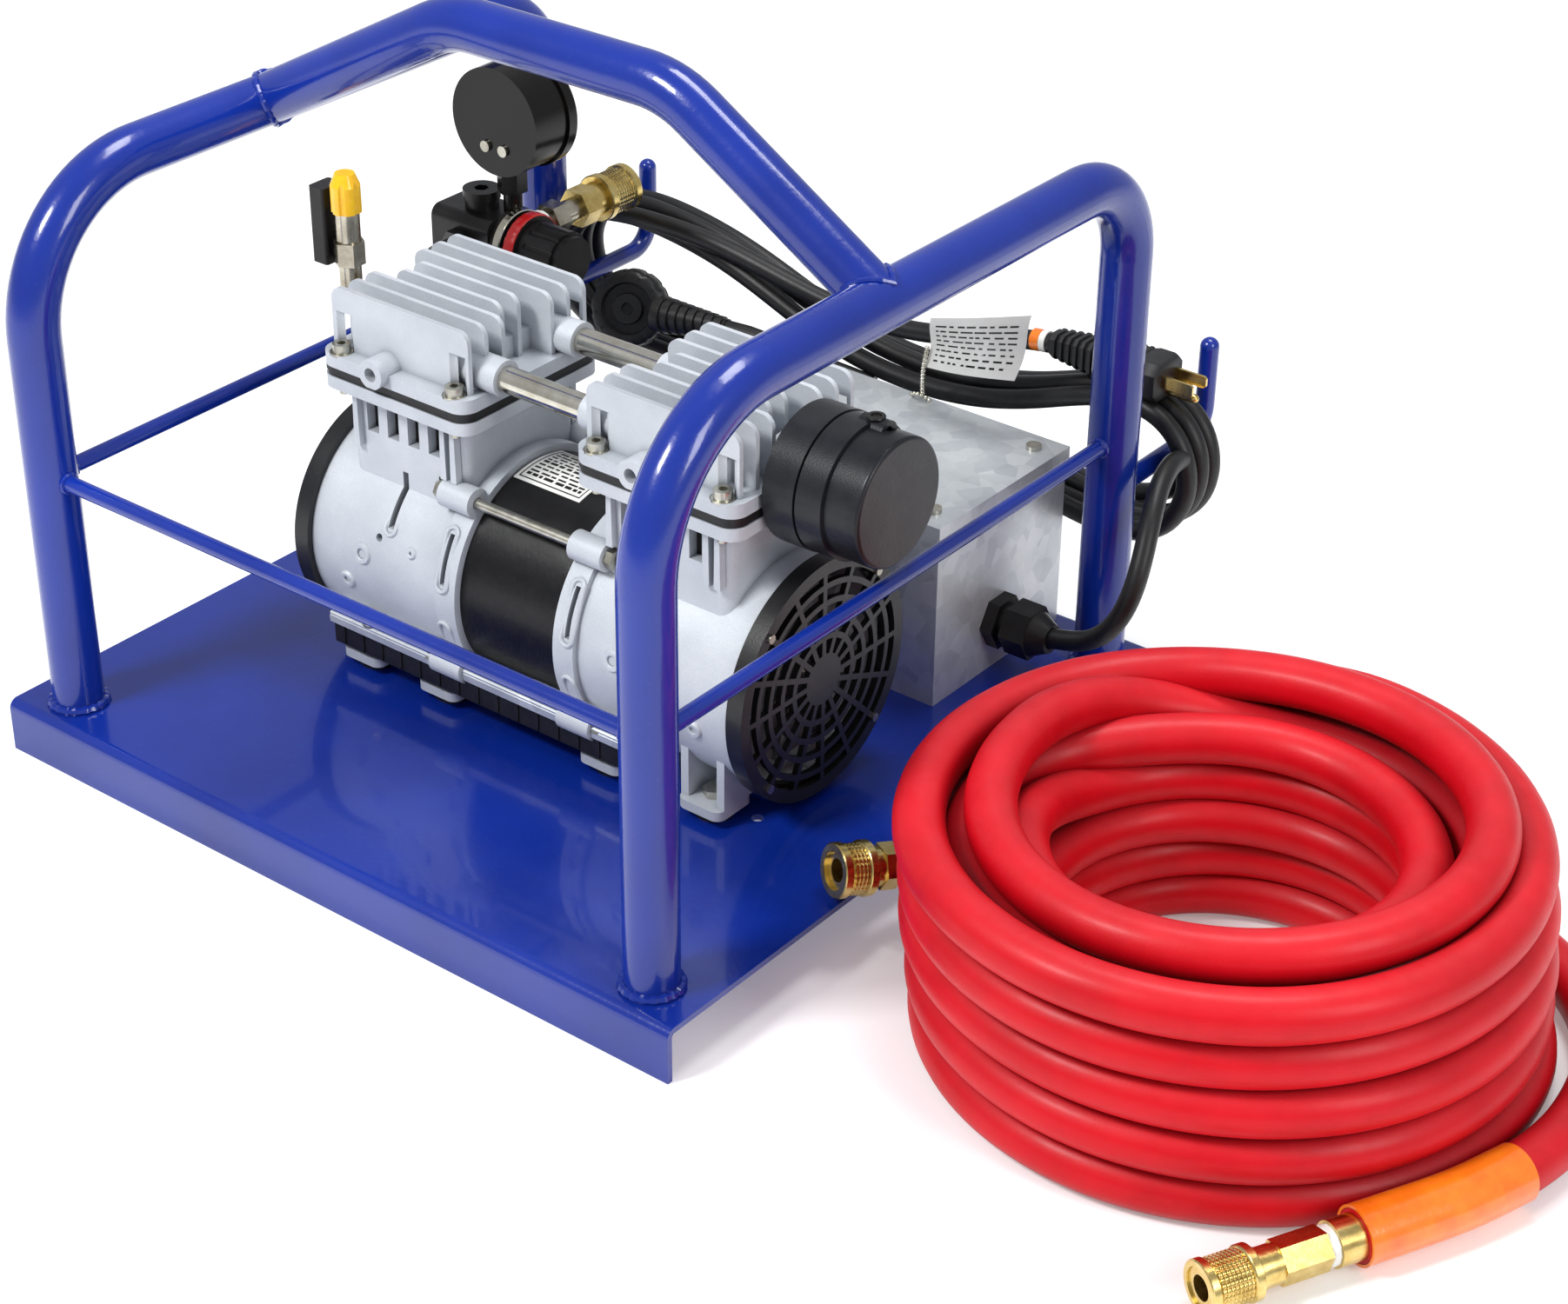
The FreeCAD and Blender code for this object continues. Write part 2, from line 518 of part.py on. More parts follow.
def fan_cover(x_face, s):
    """Round grille: rim, hub disc, two rings and radial bars, 14 deep."""
    lo = min(x_face, x_face - 9.0 * s)
    rim = tube((lo, AY, AZ), (1, 0, 0), RING_R + 0.5, RING_R - 3.0, 9.0)
    f0 = x_face - 3.0 if s > 0 else x_face
    ps = [rim, tube((f0, AY, AZ), (1, 0, 0), RING_R, RING_R - 6.0, 3.0),
          cyl((f0, AY, AZ), (1, 0, 0), 13.0, 3.0)]
    for r in (22.0, 31.0, 40.0, 49.0):
        ps.append(tube((f0, AY, AZ), (1, 0, 0), r + 1.5, r - 1.5, 3.0))
    for k in range(16):
        b = box(f0, f0 + 3.0, -1.4, 1.4, 11.0, RING_R - 4.0)
        b.rotate(V(0, 0, 0), V(1, 0, 0), 22.5 * k)
        b.translate(V(0, AY, AZ))
        ps.append(b)
    # seat on the barrel's end
    seat0 = x_face - 9.0 * s
    a, b2 = sorted((seat0, seat0 + 4.0 * s))
    ps.append(tube((a, AY, AZ), (1, 0, 0), RING_R - 1.0, BARREL_R - BARREL_WALL - 0.0, b2 - a))
    c = fuse(ps)
    for k in range(4):
        t = math.radians(45 + 90 * k)
        c = c.cut(cyl((x_face - 4.0, AY + 57.0 * math.cos(t), AZ + 57.0 * math.sin(t)), (1, 0, 0), 1.05, 8.0))
    return c


LC_FACE, RC_FACE = L_OUT - 9.0, R_OUT + 9.0
node("left_fan_cover", fan_cover(LC_FACE, -1.0))
node("right_fan_cover", fan_cover(RC_FACE, 1.0))
for k in range(4):
    a = math.radians(45 + 90 * k)
    py, pz = AY + 57.0 * math.cos(a), AZ + 57.0 * math.sin(a)
    ms.append(screw((RC_FACE, py, pz), (1, 0, 0), 2.0, 4.4, 1.2, 3.0, False))
    ms.append(screw((LC_FACE, py, pz), (-1, 0, 0), 2.0, 4.4, 1.2, 3.0, False))

# intake filter on the right head
FX = R_CYL + HEAD_HALF_X + 2.0
FZ = FILTER_Z
fb = fuse([cyl((FX, FILTER_Y, FZ), (1, 0, 0), 33.5, 17.0), cyl((FX + 17.0, FILTER_Y, FZ), (1, 0, 0), 30.0, 4.0)])
fb = fb.cut(cyl((FX + 3.0, FILTER_Y, FZ), (1, 0, 0), 27.0, 30.0)).cut(cyl((FX - 1.0, FILTER_Y, FZ + 2), (1, 0, 0), 7.0, 6.0))
node("filter_base", fb)
fc = fuse([cyl((FX + 18.0, FILTER_Y, FZ), (1, 0, 0), 33.0, 14.0), cyl((FX + 32.0, FILTER_Y, FZ), (1, 0, 0), 31.0, 19.0),
           cyl((FX + 25.0, FILTER_Y + 7.0, FZ + 27.5), (1, 0, 0), 6.5, 14.0)])
fc = fc.cut(cyl((FX + 10.0, FILTER_Y, FZ), (1, 0, 0), 30.05, 11.1)).cut(cyl((FX + 10.0, FILTER_Y, FZ), (1, 0, 0), 27.0, 38.5))
fc = fc.cut(cyl((FX + 32.0, FILTER_Y + 7.0, FZ + 29.0), (1, 0, 0), 2.5, 9.0))
es = [e for e in fc.Edges if e.Curve.TypeId == "Part::GeomCircle" and abs(e.Curve.Radius - 31.0) < 0.01 and abs(e.Vertexes[0].Point.x - (FX + 51.0)) < 0.01]
try:
    fc2 = fc.makeFillet(2.0, es)
    if fc2.isValid():
        fc = fc2
except Exception:
    pass
node("filter_cap", fc)
node("filter_element", tube((FX + 4.0, FILTER_Y, FZ), (1, 0, 0), 26.0, 12.0, 40.0))

# --------------------------------------------------------------- pneumatics
# plated pipe fittings: elbow on the left head, nipple in front of the outlet
EX = L_CYL - HEAD_HALF_X - 6.0
EYC, EZC = HEAD_Y + 3.0, 203.0
RV_X = EX - 22.0
elb = fuse([hexa((EX - 6.0, EYC, EZC), (1, 0, 0), 15.0, 6.0), cyl((EX - 22.0, EYC, EZC), (1, 0, 0), 5.6, 30.0),
            cyl((RV_X, EYC, EZC), (0, 0, 1), 5.6, 16.0), Part.makeSphere(6.6, V(RV_X, EYC, EZC))])
elb = elb.cut(cyl((RV_X, EYC, EZC), (0, 0, 1), 3.0, 30.0)).cut(cyl((RV_X, EYC, EZC), (1, 0, 0), 3.0, 60.0))
NIP0 = REG_Y + 17.0
nip = fuse([cyl((OUT_X, NIP0, OUT_Z), (0, 1, 0), 6.5, 46.0), hexa((OUT_X, NIP0 + 14.0, OUT_Z), (0, 1, 0), 17.0, 10.0)])
nip = nip.cut(cyl((OUT_X, NIP0 - 1, OUT_Z), (0, 1, 0), 4.0, 60.0))
node("pipe_fittings", group([elb, nip]))

# relief valve above the elbow: hexagon body, threaded neck, yellow knob
rz = EZC + 16.0
rb = fuse([hexa((RV_X, EYC, rz), (0, 0, 1), 14.0, 12.0), cyl((RV_X, EYC, rz + 12.0), (0, 0, 1), 6.2, 15.0)])
rb = rb.cut(cyl((RV_X, EYC, rz - 1), (0, 0, 1), 3.0, 18.0))
node("relief_valve", rb)
k0 = rz + 27.3
kn = fuse([cyl((RV_X, EYC, k0), (0, 0, 1), 7.5, 14.0), cone((RV_X, EYC, k0 + 14.0), (0, 0, 1), 7.5, 5.0, 6.0)])
for k in range(6):
    a = math.radians(60 * k)
    kn = kn.cut(cyl((RV_X + 8.6 * math.cos(a), EYC + 8.6 * math.sin(a), k0 - 1), (0, 0, 1), 2.0, 30.0))
node("relief_knob", kn)
# unloader block clamped beside the valve
ub = rbox(RV_X - 19.0, RV_X - 9.0, EYC - 7.0, EYC + 7.0, rz - 2.0, rz + 38.0, 1.5)
ub = fuse([ub, box(RV_X - 10.0, RV_X - 6.9, EYC - 3.0, EYC + 3.0, rz + 3.0, rz + 9.0)])
ub = ub.cut(hexa((RV_X, EYC, rz - 5), (0, 0, 1), 14.0, 60.0))
node("unloader_block", max(ub.Solids, key=lambda t: t.Volume))

# regulator: body on its bracket, ring, lock ring and knob along +X
RX0 = -188.0
RXB = -148.0
rb0 = [rbox(RX0, RXB, REG_Y - 17.0, REG_Y + 17.0, REG_Z - 17.0, REG_Z + 15.0, 6.0, "x"),
       cyl((RXB - 0.5, REG_Y, REG_Z), (1, 0, 0), 17.0, 4.5),
       cyl((RX0 + 21.0, REG_Y, REG_Z + 10.0), (0, 0, 1), 9.0, 12.0),
       cyl((RX0 + 21.0, REG_Y, REG_Z + 20.0), (0, 0, 1), 10.0, 5.0)]
rb1 = fuse(rb0)
rb1 = rb1.cut(hexa((RX0 + 21.0, REG_Y, REG_Z + 21.0), (0, 0, 1), 7.0, 6.0))
rb1 = rb1.cut(cyl((OUT_X, REG_Y + 5.0, OUT_Z), (0, 1, 0), 6.5, 20.0))
rb1 = rb1.cut(cyl((RX0 + 20.0, REG_Y - 18.0, REG_Z), (0, 1, 0), 4.0, 10.0))
neck = cyl((RXB + 3.5, REG_Y, REG_Z), (1, 0, 0), 11.95, 14.5)
rb1 = fuse([max(rb1.Solids, key=lambda t: t.Volume), neck, tube((RXB + 9.0, REG_Y, REG_Z), (1, 0, 0), 16.5, 11.0, 2.0)])
rings = [tube((RXB + 4.0, REG_Y, REG_Z), (1, 0, 0), 18.5, 12.0, 5.0), tube((RXB + 11.0, REG_Y, REG_Z), (1, 0, 0), 18.0, 12.0, 7.0)]
node("regulator_body", group([rb1] + rings))
KX = RXB + 18.4
knob = fuse([cyl((KX, REG_Y, REG_Z), (1, 0, 0), 15.5, 22.0), cyl((KX + 22.0, REG_Y, REG_Z), (1, 0, 0), 13.5, 4.0)])
for k in range(12):
    a = math.radians(30 * k)
    knob = knob.cut(cyl((KX + 3.0, REG_Y + 16.6 * math.cos(a), REG_Z + 16.6 * math.sin(a)), (1, 0, 0), 1.9, 25.0))
knob = knob.cut(cyl((KX - 1.0, REG_Y, REG_Z), (1, 0, 0), 12.1, 4.0))
node("regulator_knob", knob)
# bracket from the left rail
br = fuse([box(RX0 + 0.5, RX0 + 3.5, REG_Y - 14.0, REG_Y + 14.0, RAIL_Z + 2.0, REG_Z - 17.0),
           box(RX0 + 0.5, RXB - 4.0, REG_Y - 14.0, REG_Y + 14.0, REG_Z - 20.0, REG_Z - 17.0)])
br = br.cut(cyl((-POST_X, POST_Y0, RAIL_Z), (0, 1, 0), rr, POST_Y1 - POST_Y0))
node("side_rails", group(sr + [br]))

# gauge, dial towards +Y, on the regulator's upper port
gx, gy, gz = GAUGE
gc = fuse([cyl((gx, gy - 12.0, gz), (0, 1, 0), GAUGE_R, 26.0), tube((gx, gy + 12.0, gz), (0, 1, 0), GAUGE_R + 1.5, GAUGE_R - 3.0, 6.0),
           cyl((gx, gy, REG_Z + 15.0), (0, 0, 1), 5.0, gz - REG_Z - 15.0 - 20.0),
           hexa((gx, gy, gz - GAUGE_R - 12.0), (0, 0, 1), 14.0, 13.5)])
gc = gc.cut(cyl((gx, gy - 9.0, gz), (0, 1, 0), GAUGE_R - 2.5, 40.0))
for k in (-1, 1):
    gc = gc.cut(cyl((gx + 6.0 * k, gy - 13.0, gz - 14.0), (0, 1, 0), 1.4, 6.0))
    ms.append(screw((gx + 6.0 * k, gy - 12.0, gz - 14.0), (0, -1, 0), 2.8, 6.0, 1.6, 3.5, False))
gc = gc.cut(cyl((RXB - 1.0, REG_Y, REG_Z), (1, 0, 0), 17.0, 5.0)).cut(cyl((RXB + 3.9, REG_Y, REG_Z), (1, 0, 0), 18.5, 6.0))
node("gauge_case", max(gc.Solids, key=lambda t: t.Volume))
dial = cyl((gx, gy - 2.0, gz), (0, 1, 0), GAUGE_R - 2.6, 8.0).cut(cyl((gx, gy - 3.0, gz), (0, 1, 0), 1.55, 20.0))
node("gauge_dial", dial)
ndl = fuse([cyl((gx, gy + 2.0, gz), (0, 1, 0), 1.5, 7.0), cyl((gx, gy + 7.5, gz), (0, 1, 0), 3.0, 2.0)])
tipb = Part.Face(Part.makePolygon([V(gx - 1.2, gy + 7.5, gz - 7.0), V(gx + 1.2, gy + 7.5, gz - 7.0), V(gx + 0.4, gy + 7.5, gz + 20.0),
                                   V(gx - 0.4, gy + 7.5, gz + 20.0), V(gx - 1.2, gy + 7.5, gz - 7.0)])).extrude(V(0, 1.2, 0))
ndl = fuse([ndl, tipb])
# parked at the scale's lower end, 45 degrees left of straight down as read
ndl.rotate(V(gx, gy, gz), V(0, 1, 0), 135.0)
node("gauge_needle", ndl)
node("gauge_lens", cyl((gx, gy + 12.2, gz), (0, 1, 0), GAUGE_R - 3.1, 2.4))

# outlet quick coupler: body with a sprung sleeve
CB0 = NIP0 + 36.0
cb = fuse([hexa((OUT_X, CB0, OUT_Z), (0, 1, 0), 19.0, 12.0), cyl((OUT_X, CB0 + 12.0, OUT_Z), (0, 1, 0), 9.5, 32.0)])
cb = cb.cut(cyl((OUT_X, CB0 + 14.0, OUT_Z), (0, 1, 0), 6.0, 40.0)).cut(cyl((OUT_X, CB0 - 1.0, OUT_Z), (0, 1, 0), 6.5, 12.0))
cb = cb.cut(cyl((OUT_X, CB0 + 10.0, OUT_Z), (0, 1, 0), 3.0, 10.0))
node("coupler_body", cb)
CS0 = CB0 + 18.0
cs = tube((OUT_X, CS0, OUT_Z), (0, 1, 0), 12.0, 9.56, 24.0)
cs = fuse([cs, tube((OUT_X, CS0, OUT_Z), (0, 1, 0), 13.0, 11.0, 5.0), tube((OUT_X, CS0 + 19.0, OUT_Z), (0, 1, 0), 13.0, 11.0, 5.0)])
node("coupler_sleeve", cs)

# air line from the left head's rear port to the regulator's inlet
LINE_D = 8.0
pts = [(L_CYL - 8.0, HEAD_Y + HEAD_HALF_Y - 6.0, 199.5), (L_CYL - 8.0, 27.0, 199.5), (RX0 + 20.0, 22.0, REG_Z),
       (RX0 + 20.0, REG_Y - 9.0, REG_Z)]
al, ln = sweep(pts, [16.0, 16.0], LINE_D / 2.0)
check_tube("air_line", al, LINE_D / 2.0, ln)
nuts = [hexa((L_CYL - 8.0, HEAD_Y + HEAD_HALF_Y + 4.0, 199.5), (0, 1, 0), 13.0, 6.0).cut(cyl((L_CYL - 8.0, 0.0, 199.5), (0, 1, 0), LINE_D / 2.0, 20.0)),
        hexa((RX0 + 20.0, REG_Y - 23.0, REG_Z), (0, 1, 0), 13.0, 6.0).cut(cyl((RX0 + 20.0, REG_Y - 30.0, REG_Z), (0, 1, 0), LINE_D / 2.0, 20.0))]
node("air_line", group([al] + nuts))

# ---------------------------------------------------------------- electrical
bt = 1.5
eb = box(BOX_X0, BOX_X1, BOX_Y0, BOX_Y1, PLATE_TOP, BOX_Z1).cut(box(BOX_X0 + bt, BOX_X1 - bt, BOX_Y0 + bt, BOX_Y1 - bt, PLATE_TOP + bt, BOX_Z1 + 1))
eb = eb.cut(cyl((BOX_X1 - 3.0, GLAND_Y, GLAND_Z), (1, 0, 0), 8.0, 6.0))
eb = eb.cut(cyl((30.0, BOX_Y0 - 2.0, 90.0), (0, 1, 0), 6.0, 6.0))
for bx, by in ((20.0, 66.0), (122.0, 146.0)):
    eb = eb.cut(cyl((bx, by, PLATE_TOP - 1), (0, 0, 1), 2.2, 5.0))
node("electrical_box", eb)
lt = 1.2
lid = box(BOX_X0 - lt, BOX_X1 + lt, BOX_Y0 - lt, BOX_Y1 + lt, BOX_Z1 - 9.0, BOX_Z1 + lt)
lid = lid.cut(box(BOX_X0, BOX_X1, BOX_Y0, BOX_Y1, BOX_Z1 - 12.0, BOX_Z1))
LID_SCREWS = [(x, y) for x in (BOX_X0 + 12.0, BOX_X1 - 12.0) for y in (BOX_Y0 + 12.0, BOX_Y1 - 12.0)]
for x, y in LID_SCREWS:
    lid = lid.cut(cyl((x, y, BOX_Z1 - 1), (0, 0, 1), 2.0, 4.0))
    ms.append(screw((x, y, BOX_Z1 + lt), (0, 0, 1), 3.9, 8.0, 2.2, 8.0, False))
node("box_lid", lid)
for x, y in ((20.0, 66.0), (122.0, 146.0)):
    ms.append(screw((x, y, PLATE_TOP + bt), (0, 0, 1), 4.0, 8.0, 3.0, 9.0, False))
node("run_capacitor", fuse([cyl((40.0, 106.0, PLATE_TOP + bt + 22.0), (1, 0, 0), 20.0, 76.0), box(44.0, 112.0, 94.0, 118.0, PLATE_TOP + bt, PLATE_TOP + bt + 6.0)]))
g0 = BOX_X1
gl = fuse([cyl((g0 - 8.0, GLAND_Y, GLAND_Z), (1, 0, 0), 7.9, 12.0), hexa((g0 - bt - 5.0, GLAND_Y, GLAND_Z), (1, 0, 0), 22.0, 5.0),
           hexa((g0, GLAND_Y, GLAND_Z), (1, 0, 0), 25.0, 7.0, 0.0), cyl((g0 + 7.0, GLAND_Y, GLAND_Z), (1, 0, 0), 10.5, 4.0),
           hexa((g0 + 11.0, GLAND_Y, GLAND_Z), (1, 0, 0), 25.0, 14.0), cone((g0 + 25.0, GLAND_Y, GLAND_Z), (1, 0, 0), 12.0, 7.5, 9.0)])
gl = gl.cut(cyl((g0 - 10.0, GLAND_Y, GLAND_Z), (1, 0, 0), CORD_D / 2.0, 50.0))
node("cable_gland", gl)
# lead from the stator to the box, behind the pump
pts = [(12.0, AY + 52.0, AZ + 22.0), (12.0, 22.0, AZ + 18.0), (30.0, 34.0, 90.0), (30.0, BOX_Y0 + 8.0, 90.0)]
pl, ln = sweep(pts, [12.0, 12.0], 4.0)
pl = pl.cut(cyl((L_IN - 5, AY, AZ), (1, 0, 0), STATOR_R, 80.0))
pl = max(pl.Solids, key=lambda t: t.Volume)
check_tube("pump_lead", pl, 4.0, ln)
bush = tube((30.0, BOX_Y0 - 3.0, 90.0), (0, 1, 0), 8.5, 4.0, 3.0).fuse(tube((30.0, BOX_Y0 - 0.5, 90.0), (0, 1, 0), 5.95, 4.0, 5.0)).removeSplitter()
node("pump_lead", group([pl, bush]))

# ------------------------------------------------------------- power cord
cr = CORD_D / 2.0
LEAD = [(g0 + 30.0, GLAND_Y, GLAND_Z), (197.0, 103.5, 57.5), (213.5, 102.5, 69.5), (223.0, 104.5, 88.0),
        (224.5, 112.5, 107.0), (220.0, 125.5, 122.5), (213.0, 142.0, 132.0), (203.4, 163.6, 139.2)]
rad = free_radii(LEAD, CORD_D, "cord_lead")
lead, ln = sweep(LEAD, rad, cr)
check_tube("cord_lead", lead, cr, ln)
node("cord_lead", lead)
# hank: flat loops of cord hung over both hooks, the hook bars inside them
HK_Y0, HK_Y1 = 163.0, 220.0
hp = [(-192.0, 160.0), (-150.0, 173.0), (-60.0, 168.0), (60.0, 163.0), (150.0, 157.0), (192.0, 157.0), (214.0, 140.0), (214.0, 112.0), (192.0, 92.0),
      (120.0, 96.0), (0.0, 98.0), (-120.0, 88.0), (-192.0, 76.0), (-213.0, 96.0), (-213.0, 142.0), (-192.0, 160.0)]
fo = Part.Face(Part.makePolygon([V(x, HK_Y0, z) for x, z in hp]))
ip = [(-191.6, 130.1), (191.6, 130.1), (191.6, 118.0), (120.0, 118.0), (-120.0, 112.0), (-191.6, 104.0), (-191.6, 130.1)]
fi = Part.Face(Part.makePolygon([V(x, HK_Y0, z) for x, z in ip]))
hank = fo.extrude(V(0, HK_Y1 - HK_Y0, 0)).cut(fi.extrude(V(0, HK_Y1 - HK_Y0, 0)))
for s in hk:
    hank = hank.cut(s)
hank = max(hank.Solids, key=lambda t: t.Volume)
node("cord_hank", hank)
# plug lying along the top of the hank, blades towards +X
PX, PY, PZ = 150.0, 190.0, 168.0
pg = fuse([rbox(PX, PX + 36.0, PY - 14.0, PY + 14.0, PZ - 10.5, PZ + 10.5, 6.0, "x"), cone((PX - 34.0, PY, PZ), (1, 0, 0), 5.6, 9.0, 34.0)])
for dy in (-6.35, 6.35):
    pg = pg.fuse(box(PX + 34.0, PX + 54.0, PY + dy - 0.8, PY + dy + 0.8, PZ - 2.0, PZ + 4.3))
pg = pg.fuse(cyl((PX + 34.0, PY, PZ - 6.0), (1, 0, 0), 2.4, 23.0)).removeSplitter()
hank2 = hank
pg = pg.cut(hank)
node("power_plug", max(pg.Solids, key=lambda t: t.Volume))

# --------------------------------------------------------------- air hose
hr = HOSE_D / 2.0
coil = tube((COIL_X, COIL_Y, 0.0), (0, 0, 1), COIL_RO, COIL_RI, COIL_H)
coil = coil.makeFillet(9.0, [e for e in coil.Edges if e.Curve.TypeId == "Part::GeomCircle"])
node("hose_coil", coil)
# free end: leaves the coil's +X side and runs forward beside it
TAIL = [(524.0, 24.0, 11.75), (533.0, -8.0, 11.75), (535.5, -40.0, 12.2), (531.0, -72.0, 13.4), (521.5, -102.0, 13.9), (508.0, -130.0, 14.0),
        (499.0, -148.0, 14.0)]
rad = free_radii(TAIL, HOSE_D, "hose_tail")
tail, ln = sweep(TAIL, rad, hr)
check_tube("hose_tail", tail, hr, ln)
d0 = V(*TAIL[-1]) - V(*TAIL[-2])
d0.normalize()
e0 = V(*TAIL[-1])
# orange guard over the last stretch of hose
gpts = [(531.0, -72.0, 13.4), (521.5, -102.0, 13.9), (508.0, -130.0, 14.0), (499.0, -148.0, 14.0)]
# fittings at both ends: ferrule, hexagon nipple and coupler body


def along(p, d, t):
    return (p.x + d.x * t, p.y + d.y * t, p.z + d.z * t)


A = (d0.x, d0.y, d0.z)
fit = [cyl(along(e0, d0, 0.0), A, 10.0, 12.0), cyl(along(e0, d0, 12.0), A, 8.0, 4.0), hexa(along(e0, d0, 16.0), A, 17.0, 22.0, 15.0),
       cyl(along(e0, d0, 38.0), A, 8.6, 10.0), cyl(along(e0, d0, 46.0), A, 9.0, 26.0)]
fit = fuse(fit).cut(cyl(along(e0, d0, 50.0), A, 5.5, 40.0)).cut(cyl(along(e0, d0, -1.0), A, 4.5, 60.0))
SA0 = 49.0
sla = fuse([tube(along(e0, d0, SA0), A, 12.0, 9.06, 20.0), tube(along(e0, d0, SA0), A, 11.0, 9.06, 24.0)])
# the hose's other end leaves the outer ring on a tangent and lies beside the coil
STUB0 = V(246.5, -38.7, 29.8)
dB = V(-0.4400, -0.8800, 0.1800)
dB.normalize()
B0 = V(*along(STUB0, dB, 50.0))
Bx = (dB.x, dB.y, dB.z)
fitb = fuse([cyl(along(B0, dB, -4.0), Bx, 9.0, 10.0), hexa(along(B0, dB, 3.0), Bx, 19.0, 8.0), cyl(along(B0, dB, 10.0), Bx, 9.0, 22.0)])
fitb = fitb.cut(cyl(along(B0, dB, 12.0), Bx, 5.5, 40.0)).cut(cyl(along(B0, dB, -5.0), Bx, 4.0, 30.0))
SB0 = 16.5
slb = fuse([tube(along(B0, dB, SB0), Bx, 13.0, 9.06, 8.0), tube(along(B0, dB, SB0), Bx, 12.0, 9.06, 17.5)])
node("hose_fittings", group([fit, fitb]))
node("hose_sleeve_a", sla)
node("hose_sleeve_b", slb)
gd, ln = sweep(gpts, free_radii(gpts, HOSE_D, "hose_guard"), hr + 1.3)
# the guard is bored to the hose, so that it is a sleeve of its own
gd = gd.cut(tail).cut(coil)
gd = max(gd.Solids, key=lambda t: t.Volume)
node("hose_guard", gd)
stub = cyl((STUB0.x, STUB0.y, STUB0.z), Bx, hr, 46.0).cut(coil)
stub = max(stub.Solids, key=lambda t: t.Volume)
node("hose_tail", group([tail, stub]))
node("machine_screws", group(ms))

# ------------------------------------------------------------------- export
assert len(PARTS) <= 60, len(PARTS)
for name in sorted(PARTS):
    sh = PARTS[name]
    for so in (sh.Solids or [sh]):
        if not so.isValid():
            print("INVALID", name)
    sh.exportStep("parts/%s.step" % name)
bb = FreeCAD.BoundBox()
for sh in PARTS.values():
    bb.add(sh.BoundBox)
print(len(PARTS), "nodes", [round(v, 1) for v in (bb.XMin, bb.XMax, bb.YMin, bb.YMax, bb.ZMin, bb.ZMax)])
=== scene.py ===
import bmesh
import bpy
import math
import random
from mathutils import Matrix, Vector


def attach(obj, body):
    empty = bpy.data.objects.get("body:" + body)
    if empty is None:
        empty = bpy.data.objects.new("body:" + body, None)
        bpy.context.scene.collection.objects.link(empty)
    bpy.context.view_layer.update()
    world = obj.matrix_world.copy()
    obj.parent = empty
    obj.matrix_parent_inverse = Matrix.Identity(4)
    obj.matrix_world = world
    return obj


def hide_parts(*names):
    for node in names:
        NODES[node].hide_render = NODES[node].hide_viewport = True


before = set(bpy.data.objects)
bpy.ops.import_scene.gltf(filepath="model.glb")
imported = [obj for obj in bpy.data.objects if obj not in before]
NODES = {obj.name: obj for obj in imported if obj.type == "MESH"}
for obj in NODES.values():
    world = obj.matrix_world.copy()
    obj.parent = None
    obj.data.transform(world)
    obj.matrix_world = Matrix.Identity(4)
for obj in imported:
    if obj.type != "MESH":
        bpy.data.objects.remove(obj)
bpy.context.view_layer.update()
random.seed(11)

# ------------------------------------------------------------------ camera
CAM_POS = Vector((0.90586, -1.04755, 0.85909))
CAM_RIGHT = Vector((0.78647, 0.61755, 0.00932)).normalized()
CAM_FWD = Vector((-0.52568, 0.67727, -0.51474)).normalized()
CAM_RIGHT = (CAM_RIGHT - CAM_FWD * CAM_RIGHT.dot(CAM_FWD)).normalized()
CAM_UP = CAM_RIGHT.cross(CAM_FWD)
cam_data = bpy.data.cameras.new("camera")
cam_data.sensor_width = 36.0
cam_data.lens = 72.51
cam_data.clip_start = 0.05
cam_data.clip_end = 50.0
cam = bpy.data.objects.new("camera", cam_data)
bpy.context.scene.collection.objects.link(cam)
rot = Matrix((CAM_RIGHT, CAM_UP, -CAM_FWD)).transposed().to_4x4()
cam.matrix_world = Matrix.Translation(CAM_POS) @ rot
bpy.context.scene.camera = cam


# --------------------------------------------------------------- materials
def lin(r, g, b):
    """sRGB 0-255 to linear."""
    out = []
    for c in (r, g, b):
        c = c / 255.0
        out.append(c / 12.92 if c <= 0.04045 else ((c + 0.055) / 1.055) ** 2.4)
    return tuple(out) + (1.0,)


